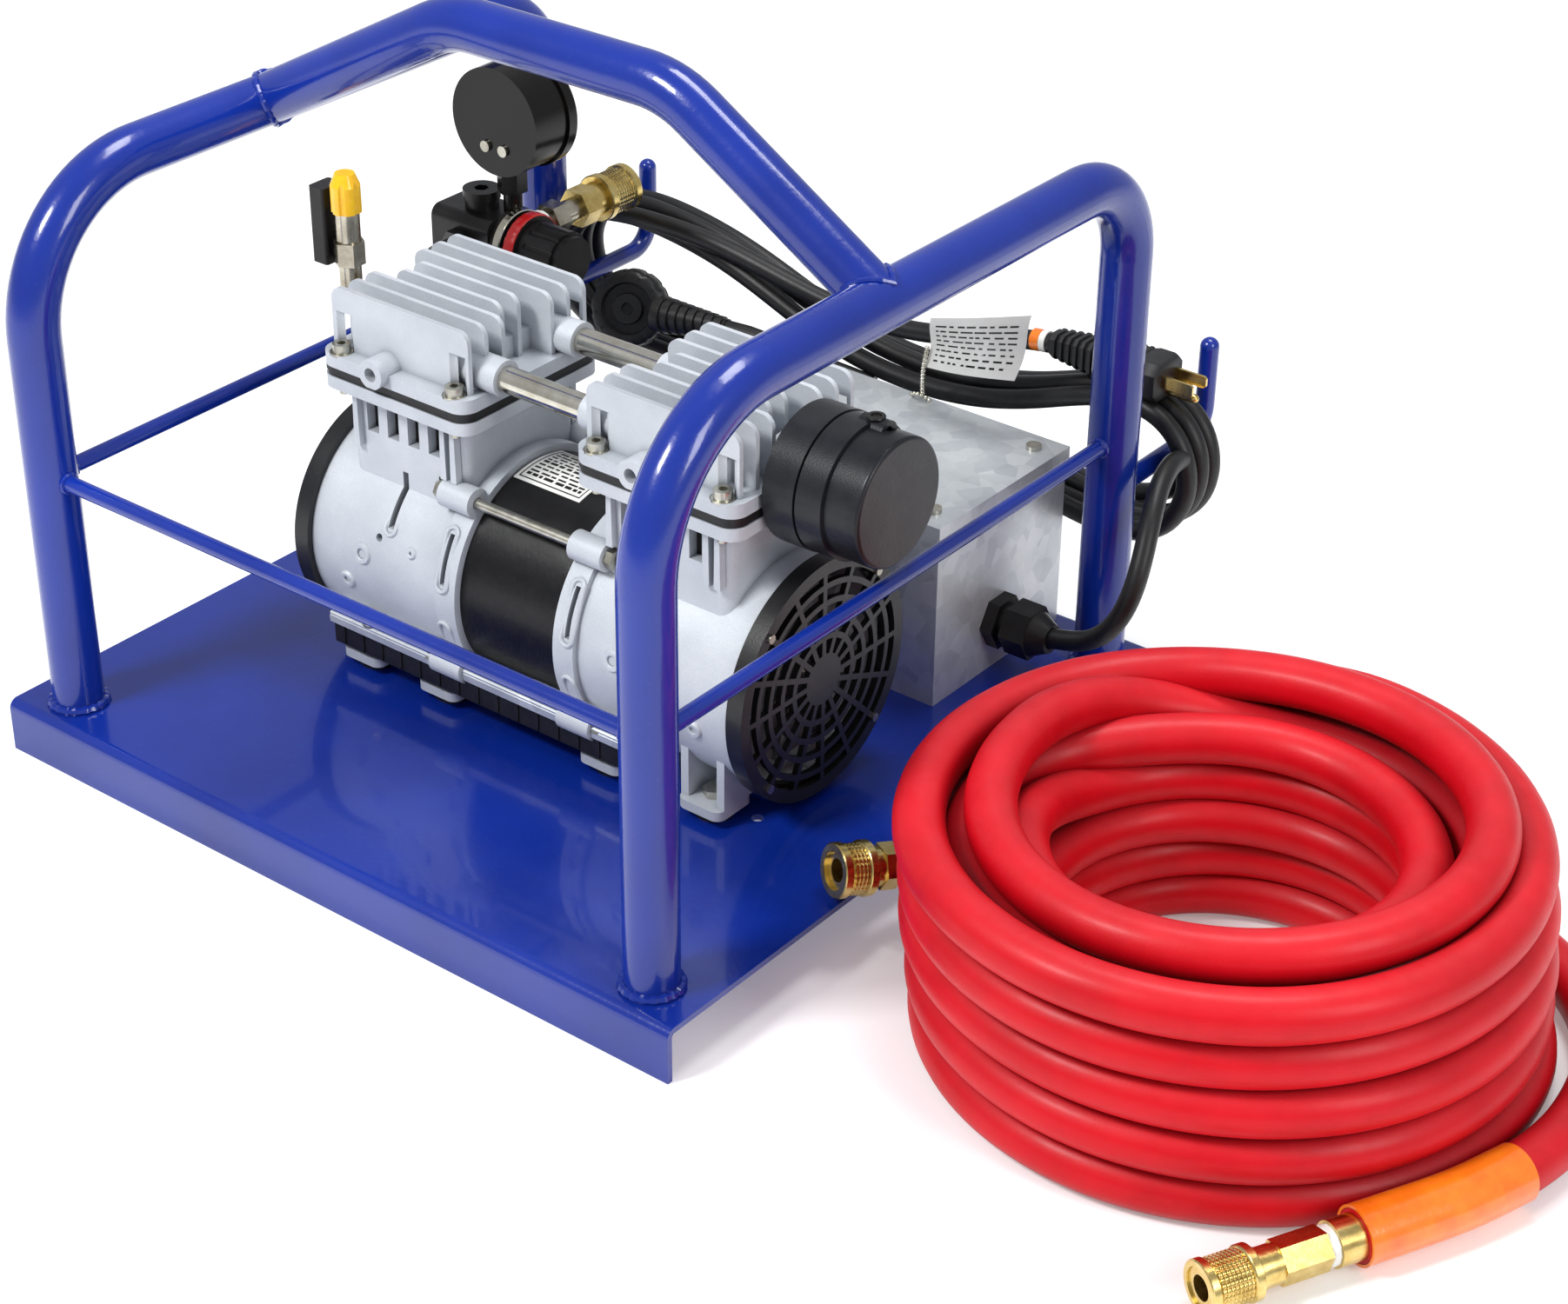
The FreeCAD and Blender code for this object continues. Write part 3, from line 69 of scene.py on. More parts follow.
class Mat:
    """Small helper around a node tree with one Principled shader."""

    def __init__(self, name, **kw):
        self.m = bpy.data.materials.new(name)
        self.m.use_nodes = True
        self.t = self.m.node_tree
        self.n = self.t.nodes
        self.l = self.t.links
        self.p = self.n["Principled BSDF"]
        for k, v in kw.items():
            self.set(k, v)
        self.coord = self.n.new("ShaderNodeTexCoord")
        self.src = self.coord.outputs["Object"]
        self.normal_in = None

    def set(self, k, v):
        self.p.inputs[k.replace("_", " ")].default_value = v

    def node(self, kind, **kw):
        n = self.n.new(kind)
        for k, v in kw.items():
            if hasattr(n, k):
                setattr(n, k, v)
            else:
                n.inputs[k.replace("_", " ")].default_value = v
        return n

    def scaled(self, sx, sy, sz):
        mp = self.n.new("ShaderNodeMapping")
        mp.inputs["Scale"].default_value = (sx, sy, sz)
        self.l.new(self.src, mp.inputs["Vector"])
        return mp.outputs["Vector"]

    def noise(self, scale, detail=2.0, rough=0.5, vec=None, dist=0.0):
        n = self.n.new("ShaderNodeTexNoise")
        n.inputs["Scale"].default_value = scale
        n.inputs["Detail"].default_value = detail
        n.inputs["Roughness"].default_value = rough
        n.inputs["Distortion"].default_value = dist
        self.l.new(vec or self.src, n.inputs["Vector"])
        return n.outputs["Fac"]

    def voronoi(self, scale, vec=None, feature="F1", rand=1.0):
        n = self.n.new("ShaderNodeTexVoronoi")
        n.feature = feature
        n.inputs["Scale"].default_value = scale
        n.inputs["Randomness"].default_value = rand
        self.l.new(vec or self.src, n.inputs["Vector"])
        return n

    def wave(self, scale, direction="X", profile="SIN", dist=0.0, vec=None, kind="BANDS"):
        n = self.n.new("ShaderNodeTexWave")
        n.wave_type = kind
        if kind == "BANDS":
            n.bands_direction = direction
        else:
            n.rings_direction = direction
        n.wave_profile = profile
        n.inputs["Scale"].default_value = scale
        n.inputs["Distortion"].default_value = dist
        self.l.new(vec or self.src, n.inputs["Vector"])
        return n.outputs["Fac"]

    def ramp(self, fac, stops, interp="LINEAR"):
        n = self.n.new("ShaderNodeValToRGB")
        n.color_ramp.interpolation = interp
        e = n.color_ramp.elements
        while len(e) > 1:
            e.remove(e[-1])
        e[0].position = stops[0][0]
        e[0].color = stops[0][1]
        for pos, col in stops[1:]:
            x = e.new(pos)
            x.color = col
        self.l.new(fac, n.inputs["Fac"])
        return n.outputs["Color"]

    def math(self, op, a, b=None, clamp=False):
        n = self.n.new("ShaderNodeMath")
        n.operation = op
        n.use_clamp = clamp
        for i, v in enumerate((a, b)):
            if v is None:
                continue
            if isinstance(v, (int, float)):
                n.inputs[i].default_value = v
            else:
                self.l.new(v, n.inputs[i])
        return n.outputs[0]

    def mix(self, fac, a, b, blend="MIX"):
        n = self.n.new("ShaderNodeMix")
        n.data_type = "RGBA"
        n.blend_type = blend
        for sock, v in ((n.inputs[0], fac), (n.inputs[6], a), (n.inputs[7], b)):
            if isinstance(v, (int, float)):
                sock.default_value = v
            elif isinstance(v, tuple):
                sock.default_value = v
            else:
                self.l.new(v, sock)
        return n.outputs[2]

    def sep(self):
        n = self.n.new("ShaderNodeSeparateXYZ")
        self.l.new(self.src, n.inputs[0])
        return n.outputs

    def color(self, c):
        if isinstance(c, tuple):
            self.p.inputs["Base Color"].default_value = c
        else:
            self.l.new(c, self.p.inputs["Base Color"])

    def rough(self, fac, lo, hi):
        n = self.n.new("ShaderNodeMapRange")
        n.inputs["To Min"].default_value = lo
        n.inputs["To Max"].default_value = hi
        self.l.new(fac, n.inputs["Value"])
        self.l.new(n.outputs["Result"], self.p.inputs["Roughness"])

    def bump(self, height, strength, distance):
        b = self.n.new("ShaderNodeBump")
        b.inputs["Strength"].default_value = strength
        b.inputs["Distance"].default_value = distance
        self.l.new(height, b.inputs["Height"])
        if self.normal_in is not None:
            self.l.new(self.normal_in, b.inputs["Normal"])
        self.normal_in = b.outputs["Normal"]
        self.l.new(self.normal_in, self.p.inputs["Normal"])

    def link(self, out, key):
        self.l.new(out, self.p.inputs[key])


def grey(v):
    return (v, v, v, 1.0)


def m_paint():
    m = Mat("blue_powder_coat", Roughness=0.2, Coat_Weight=0.45, Coat_Roughness=0.05, Specular_IOR_Level=0.35)
    big = m.noise(9.0, 3.0, 0.55)
    c = m.ramp(big, [(0.3, lin(7, 34, 122)), (0.7, lin(13, 45, 146))])
    # painted sheen: fine flecks of lighter blue mixed into the paint colour
    sheen_flecks = m.noise(420.0, 2.0, 0.6)
    c = m.mix(m.ramp(sheen_flecks, [(0.62, grey(0.0)), (0.8, grey(0.12))]), c, lin(58, 84, 180))
    m.color(c)
    m.rough(m.noise(45.0, 4.0, 0.6), 0.14, 0.30)
    m.bump(m.noise(330.0, 2.0, 0.5), 0.16, 0.0006)
    m.bump(m.noise(1500.0, 1.0, 0.5), 0.08, 0.0002)
    return m


def m_cast(name="cast_alloy", base=(208, 212, 217), dark=(190, 195, 201)):
    m = Mat(name, Metallic=0.15, Roughness=0.5, Specular_IOR_Level=0.5)
    big = m.noise(24.0, 3.0, 0.6)
    c = m.ramp(big, [(0.3, lin(*dark)), (0.7, lin(*base))])
    fine = m.noise(1900.0, 2.0, 0.7)
    c = m.mix(m.ramp(fine, [(0.35, grey(0.22)), (0.6, grey(0.0))]), c, lin(140, 148, 158))
    # painted shade: ambient occlusion darkens the colour where the casting folds in on itself
    occlusion_shade = m.node("ShaderNodeAmbientOcclusion", samples=8, Distance=0.006)
    c = m.mix(m.ramp(occlusion_shade.outputs["AO"], [(0.25, grey(0.55)), (0.85, grey(0.0))]), c, lin(92, 98, 108))
    m.color(c)
    m.rough(m.noise(700.0, 2.0, 0.6), 0.42, 0.6)
    m.bump(m.noise(1400.0, 2.0, 0.6), 0.35, 0.00035)
    m.bump(m.noise(160.0, 2.0, 0.5), 0.12, 0.0008)
    return m


def m_black_lam():
    m = Mat("black_laminations", Roughness=0.3, Coat_Weight=0.12, Coat_Roughness=0.2, Specular_IOR_Level=0.4)
    x = m.wave(320.0, "X", "SIN", 0.4)
    m.color(m.ramp(m.noise(90.0, 4.0, 0.7), [(0.35, lin(6, 6, 7)), (0.75, lin(17, 16, 17))]))
    m.rough(m.noise(160.0, 4.0, 0.7), 0.22, 0.5)
    m.bump(x, 0.25, 0.0003)
    m.bump(m.noise(260.0, 3.0, 0.6), 0.3, 0.0006)
    return m


def m_plastic(name, a, b, r0=0.35, r1=0.5, grain=900.0, strength=0.25, dist=0.0003, coat=0.0):
    m = Mat(name, Roughness=r0, Coat_Weight=coat, Coat_Roughness=0.15)
    m.color(m.ramp(m.noise(60.0, 3.0, 0.6), [(0.3, lin(*a)), (0.7, lin(*b))]))
    m.rough(m.noise(300.0, 2.0, 0.6), r0, r1)
    m.bump(m.noise(grain, 2.0, 0.6), strength, dist)
    return m


def m_metal(name, a, b, r0=0.2, r1=0.35, brush=None, bump=0.15, scale=300.0, dist=0.0002):
    m = Mat(name, Metallic=1.0, Roughness=r0)
    m.color(m.ramp(m.noise(80.0, 4.0, 0.6), [(0.3, lin(*a)), (0.7, lin(*b))]))
    if brush:
        v = m.scaled(*brush)
        n = m.noise(1.0, 3.0, 0.6, vec=v)
    else:
        n = m.noise(scale, 3.0, 0.6)
    m.rough(n, r0, r1)
    m.bump(n, bump, dist)
    return m


def m_galv():
    m = Mat("galvanised", Metallic=0.55, Roughness=0.34)
    v = m.voronoi(95.0)
    spangle = m.ramp(v.outputs["Color"], [(0.0, lin(172, 178, 184)), (1.0, lin(226, 230, 232))])
    soft = m.ramp(m.noise(28.0, 4.0, 0.65), [(0.3, lin(178, 184, 189)), (0.7, lin(224, 227, 229))])
    m.color(m.mix(0.45, spangle, soft))
    m.rough(m.noise(60.0, 5.0, 0.7), 0.24, 0.46)
    m.bump(m.voronoi(95.0).outputs["Distance"], 0.05, 0.0004)
    m.bump(m.noise(1.0, 2.0, 0.5, vec=m.scaled(20.0, 20.0, 900.0)), 0.06, 0.0002)
    return m


def m_rubber(name="black_cord", a=(10, 10, 11), b=(24, 24, 25)):
    m = Mat(name, Roughness=0.42, Specular_IOR_Level=0.45)
    m.color(m.ramp(m.noise(120.0, 4.0, 0.7), [(0.3, lin(*a)), (0.75, lin(*b))]))
    m.rough(m.noise(260.0, 4.0, 0.7), 0.34, 0.55)
    m.bump(m.noise(1300.0, 3.0, 0.6), 0.2, 0.0003)
    return m


def m_hose():
    m = Mat("red_hose", Roughness=0.45, Specular_IOR_Level=0.22, Coat_Weight=0.08, Coat_Roughness=0.25)
    big = m.noise(14.0, 4.0, 0.65)
    c = m.ramp(big, [(0.28, lin(178, 3, 17)), (0.55, lin(200, 5, 24)), (0.8, lin(212, 14, 32))])
    # painted highlight: upward-facing surfaces mixed toward a pale pink, broken up by a noise mottle
    sheen_mottle = m.noise(55.0, 5.0, 0.7)
    geo = m.n.new("ShaderNodeNewGeometry")
    s = m.n.new("ShaderNodeSeparateXYZ")
    m.l.new(geo.outputs["Normal"], s.inputs[0])
    up = m.ramp(s.outputs["Z"], [(0.45, grey(0.0)), (0.98, grey(0.2))])
    f = m.mix(1.0, up, m.ramp(sheen_mottle, [(0.3, grey(0.35)), (0.75, grey(1.0))]), "MULTIPLY")
    c = m.mix(f, c, lin(222, 84, 90))
    # painted shade: darker red where the turns crowd each other, from ambient occlusion
    occlusion_shade = m.node("ShaderNodeAmbientOcclusion", samples=8, Distance=0.02)
    m.color(m.mix(m.ramp(occlusion_shade.outputs["AO"], [(0.15, grey(0.6)), (0.7, grey(0.0))]), c, lin(104, 0, 8)))
    m.rough(m.noise(90.0, 5.0, 0.7), 0.34, 0.6)
    m.bump(m.noise(1.0, 2.0, 0.6, vec=m.scaled(900.0, 900.0, 900.0)), 0.18, 0.0004)
    m.bump(m.noise(120.0, 3.0, 0.6), 0.1, 0.0006)
    return m


def m_brass(name="brass", knurl=False):
    m = Mat(name, Metallic=1.0, Roughness=0.22)
    m.color(m.ramp(m.noise(70.0, 5.0, 0.7), [(0.25, lin(178, 146, 78)), (0.5, lin(216, 190, 118)), (0.8, lin(236, 220, 160))]))
    m.rough(m.noise(180.0, 4.0, 0.7), 0.14, 0.36)
    m.bump(m.noise(900.0, 2.0, 0.6), 0.12, 0.0002)
    return m


MATS = {
    "paint": m_paint(),
    "cast": m_cast(),
    "lam": m_black_lam(),
    "copper": m_metal("copper_wire", (150, 70, 34), (196, 104, 56), 0.3, 0.5, (40.0, 900.0, 900.0), 0.6),
    "zinc": m_metal("zinc_plate", (150, 146, 132), (206, 204, 192), 0.22, 0.42),
    "bright": m_metal("polished_steel", (196, 190, 172), (226, 224, 214), 0.1, 0.24, (6.0, 1200.0, 1200.0), 0.12),
    "rubber": m_rubber("black_rubber", (14, 14, 15), (30, 30, 31)),
    "cord": m_rubber(),
    "grille": m_plastic("black_nylon", (12, 12, 13), (24, 24, 25), 0.3, 0.45, coat=0.15),
    "nylon": m_plastic("grey_nylon", (84, 86, 90), (112, 114, 118), 0.4, 0.55),
    "alloy": m_metal("anodised", (130, 132, 134), (160, 162, 164), 0.3, 0.45),
    "charcoal": m_plastic("charcoal_plastic", (24, 25, 28), (36, 37, 41), 0.28, 0.42, 1200.0, 0.3, 0.0003, 0.1),
    "felt": m_plastic("felt", (190, 186, 166), (214, 210, 190), 0.85, 0.95, 400.0, 0.8, 0.001),
    "nickel": m_metal("nickel_plate", (138, 128, 108), (204, 198, 182), 0.16, 0.34),
    "yellow": m_plastic("yellow_knob", (246, 176, 6), (255, 206, 16), 0.2, 0.32, 400.0, 0.1, 0.0003, 0.4),
    "black": m_plastic("satin_black", (16, 15, 15), (32, 30, 29), 0.3, 0.45, 900.0, 0.25, 0.0003, 0.1),
    "line": m_plastic("nylon_tube", (18, 18, 20), (30, 30, 32), 0.22, 0.3, 500.0, 0.08, 0.0002, 0.2),
    "enamel": m_plastic("black_enamel", (7, 6, 5), (14, 12, 10), 0.18, 0.3, 260.0, 0.15, 0.0003, 0.15),
    "white": m_plastic("dial_white", (222, 222, 216), (232, 232, 228), 0.3, 0.4, 300.0, 0.05, 0.0002),
    "galv": m_galv(),
    "capacitor": m_plastic("capacitor", (176, 176, 172), (200, 200, 196), 0.3, 0.4),
    "hose": m_hose(),
    "brass": m_brass(),
    "red": m_plastic("lock_red", (176, 20, 22), (196, 30, 30), 0.3, 0.42, 500.0, 0.15, 0.0003, 0.1),
    "orange": m_plastic("orange_guard", (228, 104, 14), (244, 132, 26), 0.16, 0.3, 200.0, 0.2, 0.0008, 0.6),
}
g = Mat("gauge_glass", Roughness=0.03, Transmission_Weight=1.0, IOR=1.45)
g.color((0.95, 0.98, 0.98, 1.0))
g.set("Alpha", 0.35)
MATS["glass"] = g
for key, level in (("charcoal", 0.22), ("enamel", 0.2), ("lam", 0.25), ("black", 0.25), ("grille", 0.4)):
    MATS[key].set("Specular_IOR_Level", level)


def assign(node, key):
    o = NODES[node]
    o.data.materials.clear()
    o.data.materials.append(MATS[key].m if isinstance(MATS[key], Mat) else MATS[key])


for key, names in {
    "paint": ["base_plate", "left_hoop", "right_hoop", "carry_handle", "front_rail", "side_rails", "cord_hooks"],
    "cast": ["left_housing", "right_housing", "left_head", "right_head"],
    "lam": ["stator_core"], "copper": ["stator_windings"],
    "zinc": ["foot_bolts", "tie_bolts", "machine_screws", "shaft_bearings"],
    "bright": ["motor_shaft", "rotor", "transfer_tubes"],
    "rubber": ["rubber_mounts", "head_gaskets", "valve_plates"], "cord": ["cord_lead", "cord_hank", "power_plug", "pump_lead"],
    "grille": ["left_fan_cover", "right_fan_cover"], "nylon": ["left_fan", "right_fan", "left_piston", "right_piston"],
    "alloy": ["cylinder_sleeves"], "charcoal": ["filter_base", "filter_cap"], "felt": ["filter_element"],
    "nickel": ["pipe_fittings", "relief_valve"], "yellow": ["relief_knob"],
    "black": ["unloader_block", "regulator_body", "regulator_knob", "cable_gland", "gauge_needle"], "line": ["air_line"],
    "enamel": ["gauge_case"], "white": ["gauge_dial"], "glass": ["gauge_lens"], "galv": ["electrical_box", "box_lid"],
    "capacitor": ["run_capacitor"], "hose": ["hose_coil", "hose_tail"],
    "brass": ["coupler_body", "coupler_sleeve", "hose_fittings", "hose_sleeve_a", "hose_sleeve_b"], "orange": ["hose_guard"],
}.items():
    for nm in names:
        assign(nm, key)

# ------------------------------------------------------------------- cords
def nurbs(name, pts, dia, mat, resolution=6, bevel_res=6):
    """One open NURBS tube through control points given in millimetres."""
    cu = bpy.data.curves.new(name, "CURVE")
    cu.dimensions = "3D"
    cu.resolution_u = resolution
    cu.bevel_depth = dia / 2000.0
    cu.bevel_resolution = bevel_res
    cu.use_fill_caps = True
    sp = cu.splines.new("NURBS")
    sp.points.add(len(pts) - 1)
    for p, q in zip(sp.points, pts):
        p.co = (q[0] / 1000.0, q[1] / 1000.0, q[2] / 1000.0, 1.0)
    sp.order_u = 3
    sp.use_endpoint_u = True
    o = bpy.data.objects.new(name, cu)
    bpy.context.scene.collection.objects.link(o)
    cu.materials.append(mat)
    return o


def smooth(t):
    t = min(1.0, max(0.0, t))
    return t * t * (3.0 - 2.0 * t)


HOSE_D = 23.5
TAIL = [(524.0, 24.0, 11.75), (533.0, -8.0, 11.75), (535.5, -40.0, 12.2), (531.0, -72.0, 13.4), (521.5, -102.0, 13.9), (508.0, -130.0, 14.0),
        (499.0, -148.0, 14.0)]
COIL = (376.0, -50.0)
# slots of the coil in the order the hose fills them: radius, height, angle where the next begins, sweep of the change
SLOTS = [(130.0, 11.9, 390, 60), (109.5, 21.5, 735, 60), (88.5, 11.9, 1050, 60), (91.0, 33.0, 1370, 60), (87.0, 54.0, 1690, 60),
         (109.5, 67.5, 2000, 60), (90.0, 75.0, 2315, 60), (85.5, 96.5, 2650, 60), (109.5, 90.5, 2990, 60), (106.5, 116.5, 3335, 60),
         (130.2, 105.6, 3695, 60), (129.2, 82.2, 4055, 60), (130.2, 58.6, 4415, 55), (110.0, 44.5, 4830, 65), (130.0, 35.2, 9999, 60)]
COIL_END = 5215.0


def coil_at(phi):
    """Radius, height and centre of the hose's line at a running angle."""
    i = 0
    while phi > SLOTS[i][2] + SLOTS[i][3]:
        i += 1
    r0, z0, a0, sw = SLOTS[i]

    def local(j):
        r, z = SLOTS[j][0], SLOTS[j][1]
        c = math.cos(math.radians(phi - 38.0))
        if j == 9:
            r += 7.0 * c
            z += 4.0 * c
        # hand-wound: every turn a little off round
        r += 0.9 * math.sin(math.radians(2.0 * phi) + 1.7 * j) + 0.6 * math.sin(math.radians(3.0 * phi) + 2.9 * j)
        z += 0.5 * math.sin(math.radians(2.0 * phi) + 2.3 * j) if z > 14 else 0.0
        return r, z

    r, z = local(i)
    if phi > a0:
        t = smooth((phi - a0) / sw)
        r1, z1 = local(i + 1)
        r, z = r + (r1 - r) * t, z + (z1 - z) * t
    if phi < 105.0:
        t = smooth((phi - 27.0) / 78.0)
        r, z = 165.3 + (r - 165.3) * t, 11.75 + (z - 11.75) * t
    lean = 5.5 - 11.0 * (z / 105.0)
    if phi < 105.0:
        lean *= smooth((phi - 27.0) / 78.0)
    if phi > COIL_END - 90.0:
        lean *= smooth((COIL_END - phi) / 90.0)
        r += (130.0 - r) * smooth(1.0 - (COIL_END - phi) / 90.0)
    return r, z, (COIL[0] + 0.7865 * lean, COIL[1] + 0.6175 * lean)


hose_pts = [tuple(p) for p in reversed(TAIL)]
phi = 27.0 + 14.0
while phi < COIL_END - 6.0:
    r, z, c = coil_at(phi)
    r *= 1.008
    a = math.radians(phi)
    hose_pts.append((c[0] + r * math.cos(a), c[1] + r * math.sin(a), z))
    phi += 18.0
STUB0 = Vector((246.5, -38.7, 29.8))
DB = Vector((-0.4400, -0.8800, 0.1800)).normalized()
for t in (0.0, 16.0, 31.0, 46.0):
    hose_pts.append(tuple(STUB0 + DB * t))
hose = nurbs("air_hose", hose_pts, HOSE_D - 0.3, MATS["hose"].m, 8, 9)
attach(hose, "hose")
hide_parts("hose_coil", "hose_tail")

CORD_D = 10.5
LEAD = [(177.0, 104.0, 55.0), (189.0, 103.9, 55.4), (201.5, 103.6, 59.8), (211.5, 103.2, 68.6), (218.2, 103.8, 80.5), (222.0, 106.5, 94.0),
        (222.6, 113.5, 107.5), (219.6, 125.0, 120.0), (212.8, 142.0, 131.0), (203.4, 163.6, 139.2)]


def fold(cx, cz, r, start, stop, y0, y1, n):
    out = []
    for k in range(n):
        t = (k + 0.5) / n
        a = math.radians(start + (stop - start) * t)
        out.append((cx + r * math.cos(a), y0 + (y1 - y0) * t, cz + r * math.sin(a)))
    return out


cord_pts = list(LEAD) + [(203.5, 183.0, 133.0), (199.0, 197.5, 116.0), (183.0, 205.0, 97.0), (160.0, 207.0, 88.5)]
TOPS = [(204.0, 0.0), (193.0, 2.5), (182.0, -1.5)]
BOTS = [(207.0, -1.0), (198.0, 1.5), (187.0, -2.0), (176.0, 1.0)]
TOP_LINE = [(-146.0, 165.0), (-104.0, 160.5), (-62.0, 147.0), (-12.0, 130.0), (44.0, 125.0), (94.0, 132.0), (138.0, 148.0)]
BOT_LINE = [(134.0, 87.0), (84.0, 91.0), (22.0, 91.0), (-42.0, 90.0), (-100.0, 90.5), (-146.0, 93.5)]
for k in range(4):
    yb, jb = BOTS[k]
    cord_pts += [(x, yb, z + jb * (1.0 + 0.3 * math.sin(x * 0.03 + k))) for x, z in BOT_LINE]
    yt, jt = TOPS[k] if k < 3 else (172.0, 4.0)
    cord_pts += fold(-171.8, 128.5 + 0.5 * jt, 35.6, -90.0, -270.0, yb, yt, 12)
    if k == 3:
        break
    cord_pts += [(x, yt + 1.5 * math.sin(x * 0.021 + 2.0 * k), z + jt) for x, z in TOP_LINE]
    cord_pts += fold(171.8, 120.0 + 0.4 * jt, 35.6, 90.0, -90.0, yt, BOTS[k + 1][0], 12)
# last run: over the others to the plug
cord_pts += [(-146.0, 173.5, 169.5), (-104.0, 176.5, 169.5), (-62.0, 180.0, 160.5), (-14.0, 184.0, 150.0), (34.0, 187.5, 149.0), (74.0, 189.5, 158.0),
             (100.0, 190.0, 165.5), (124.0, 190.0, 168.0)]


def even(pts, step):
    """Points at one spacing along a polyline, first and last kept."""
    q = [Vector(p) for p in pts]
    total = sum((b - a).length for a, b in zip(q, q[1:]))
    n = max(2, round(total / step))
    out, i, run = [q[0]], 0, 0.0
    for k in range(1, n):
        want = total * k / n
        while run + (q[i + 1] - q[i]).length < want:
            run += (q[i + 1] - q[i]).length
            i += 1
        out.append(q[i].lerp(q[i + 1], (want - run) / (q[i + 1] - q[i]).length))
    return out + [q[-1]]


def relax(pts, rounds):
    """Ease kinks out of a line without shrinking its loops."""
    p = [Vector(q) for q in pts]
    for k in range(rounds):
        for f in (0.5, -0.515):
            p = [p[0]] + [p[i] + ((p[i - 1] + p[i + 1]) * 0.5 - p[i]) * f for i in range(1, len(p) - 1)] + [p[-1]]
    return p


cord_pts = relax(even(cord_pts, 9.0), 150)
cord_pts = [tuple(p) for p in even(cord_pts, 14.0)]
mains = nurbs("mains_cord", cord_pts, CORD_D, MATS["cord"].m, 4, 6)
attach(mains, "root")
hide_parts("cord_lead", "cord_hank")

# ------------------------------------------------------------ added pieces
class Build:
    """Collects closed shells in millimetres and makes one object of them."""

    def __init__(self):
        self.v, self.f = [], []

    def shell(self, rings, caps=True, loop=False):
        """Skin a list of equal rings of points; caps close the two ends."""
        b = len(self.v)
        n = len(rings[0])
        for r in rings:
            self.v += [tuple(p) for p in r]
        m = len(rings)
        for i in range(m if loop else m - 1):
            i2 = (i + 1) % m
            for j in range(n):
                j2 = (j + 1) % n
                self.f.append((b + i * n + j, b + i * n + j2, b + i2 * n + j2, b + i2 * n + j))
        if caps and not loop:
            self.f.append(tuple(b + j for j in reversed(range(n))))
            self.f.append(tuple(b + (m - 1) * n + j for j in range(n)))

    def lathe(self, o, d, prof, seg=48, knurl=None):
        """Closed profile of (t, r) turned about the axis o + t d."""
        o, d = Vector(o), Vector(d).normalized()
        u = d.orthogonal().normalized()
        w = d.cross(u)
        rings = []
        for k in range(seg):
            a = 2.0 * math.pi * k / seg
            e = u * math.cos(a) + w * math.sin(a)
            rings.append([o + d * t + e * (r + (knurl(t, r, k) if knurl else 0.0)) for t, r in prof])
        self.shell(rings, False, True)

    def tube(self, pts, r, seg=10, closed=False, ripple=0.0, seed=0):
        """Round bar along a line of points; ripple makes it a weld bead."""
        pts = [Vector(p) for p in pts]
        n = len(pts)
        rnd = random.Random(seed)
        rings = []
        up = None
        for i in range(n):
            a = pts[(i - 1) % n] if closed else pts[max(0, i - 1)]
            b = pts[(i + 1) % n] if closed else pts[min(n - 1, i + 1)]
            t = (b - a).normalized()
            up = t.orthogonal().normalized() if up is None else (up - t * up.dot(t)).normalized()
            w = t.cross(up)
            q = r
            if ripple:
                q = r * (1.0 + ripple * (abs(math.sin(i * 0.9)) - 0.5) + rnd.uniform(-0.05, 0.05))
            rings.append([pts[i] + (up * math.cos(2 * math.pi * j / seg) + w * math.sin(2 * math.pi * j / seg)) * q for j in range(seg)])
        self.shell(rings, not closed, closed)

    def box(self, x0, x1, y0, y1, z0, z1, ch=0.0):
        """Block with its long edges along X chamfered."""
        c = ch
        prof = [(y0 + c, z0), (y1 - c, z0), (y1, z0 + c), (y1, z1 - c), (y1 - c, z1), (y0 + c, z1), (y0, z1 - c), (y0, z0 + c)] if c else \
            [(y0, z0), (y1, z0), (y1, z1), (y0, z1)]
        if c:
            cy, cz = (y0 + y1) / 2.0, (z0 + z1) / 2.0
            k = 1.0 - 2.0 * c / min(y1 - y0, z1 - z0) * 0.6
            small = [(cy + (y - cy) * k, cz + (z - cz) * k) for y, z in prof]
            self.shell([[(x0, y, z) for y, z in small], [(x0 + c, y, z) for y, z in prof], [(x1 - c, y, z) for y, z in prof],
                        [(x1, y, z) for y, z in small]])
        else:
            self.shell([[(x0, y, z) for y, z in prof], [(x1, y, z) for y, z in prof]])

    def patch(self, x0, x1, a0, a1, r, t, seg=14, ax=(-48.5, 94.0)):
        """Curved plate on the barrel; angles from straight front up over the top."""
        rings = []
        for i in range(seg + 1):
            a = math.radians(a0 + (a1 - a0) * i / seg)
            c, s = math.cos(a), math.sin(a)
            rings.append([(x, ax[0] - q * c, ax[1] + q * s) for x, q in ((x0, r), (x1, r), (x1, r + t), (x0, r + t))])
        self.shell(rings)

    def make(self, name, key, body="root", smooth_it=True, replaces=()):
        me = bpy.data.meshes.new(name)
        me.from_pydata([(x / 1000.0, y / 1000.0, z / 1000.0) for x, y, z in self.v], [], self.f)
        me.materials.append(MATS[key].m)
        bm = bmesh.new()
        bm.from_mesh(me)
        bmesh.ops.recalc_face_normals(bm, faces=bm.faces)
        for e in bm.edges:
            if len(e.link_faces) == 2 and e.calc_face_angle(0.0) > math.radians(38.0):
                e.smooth = False
        for f in bm.faces:
            f.smooth = smooth_it
        bm.to_mesh(me)
        bm.free()
        o = bpy.data.objects.new(name, me)
        bpy.context.scene.collection.objects.link(o)
        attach(o, body)
        if replaces:
            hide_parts(*replaces)
        return o


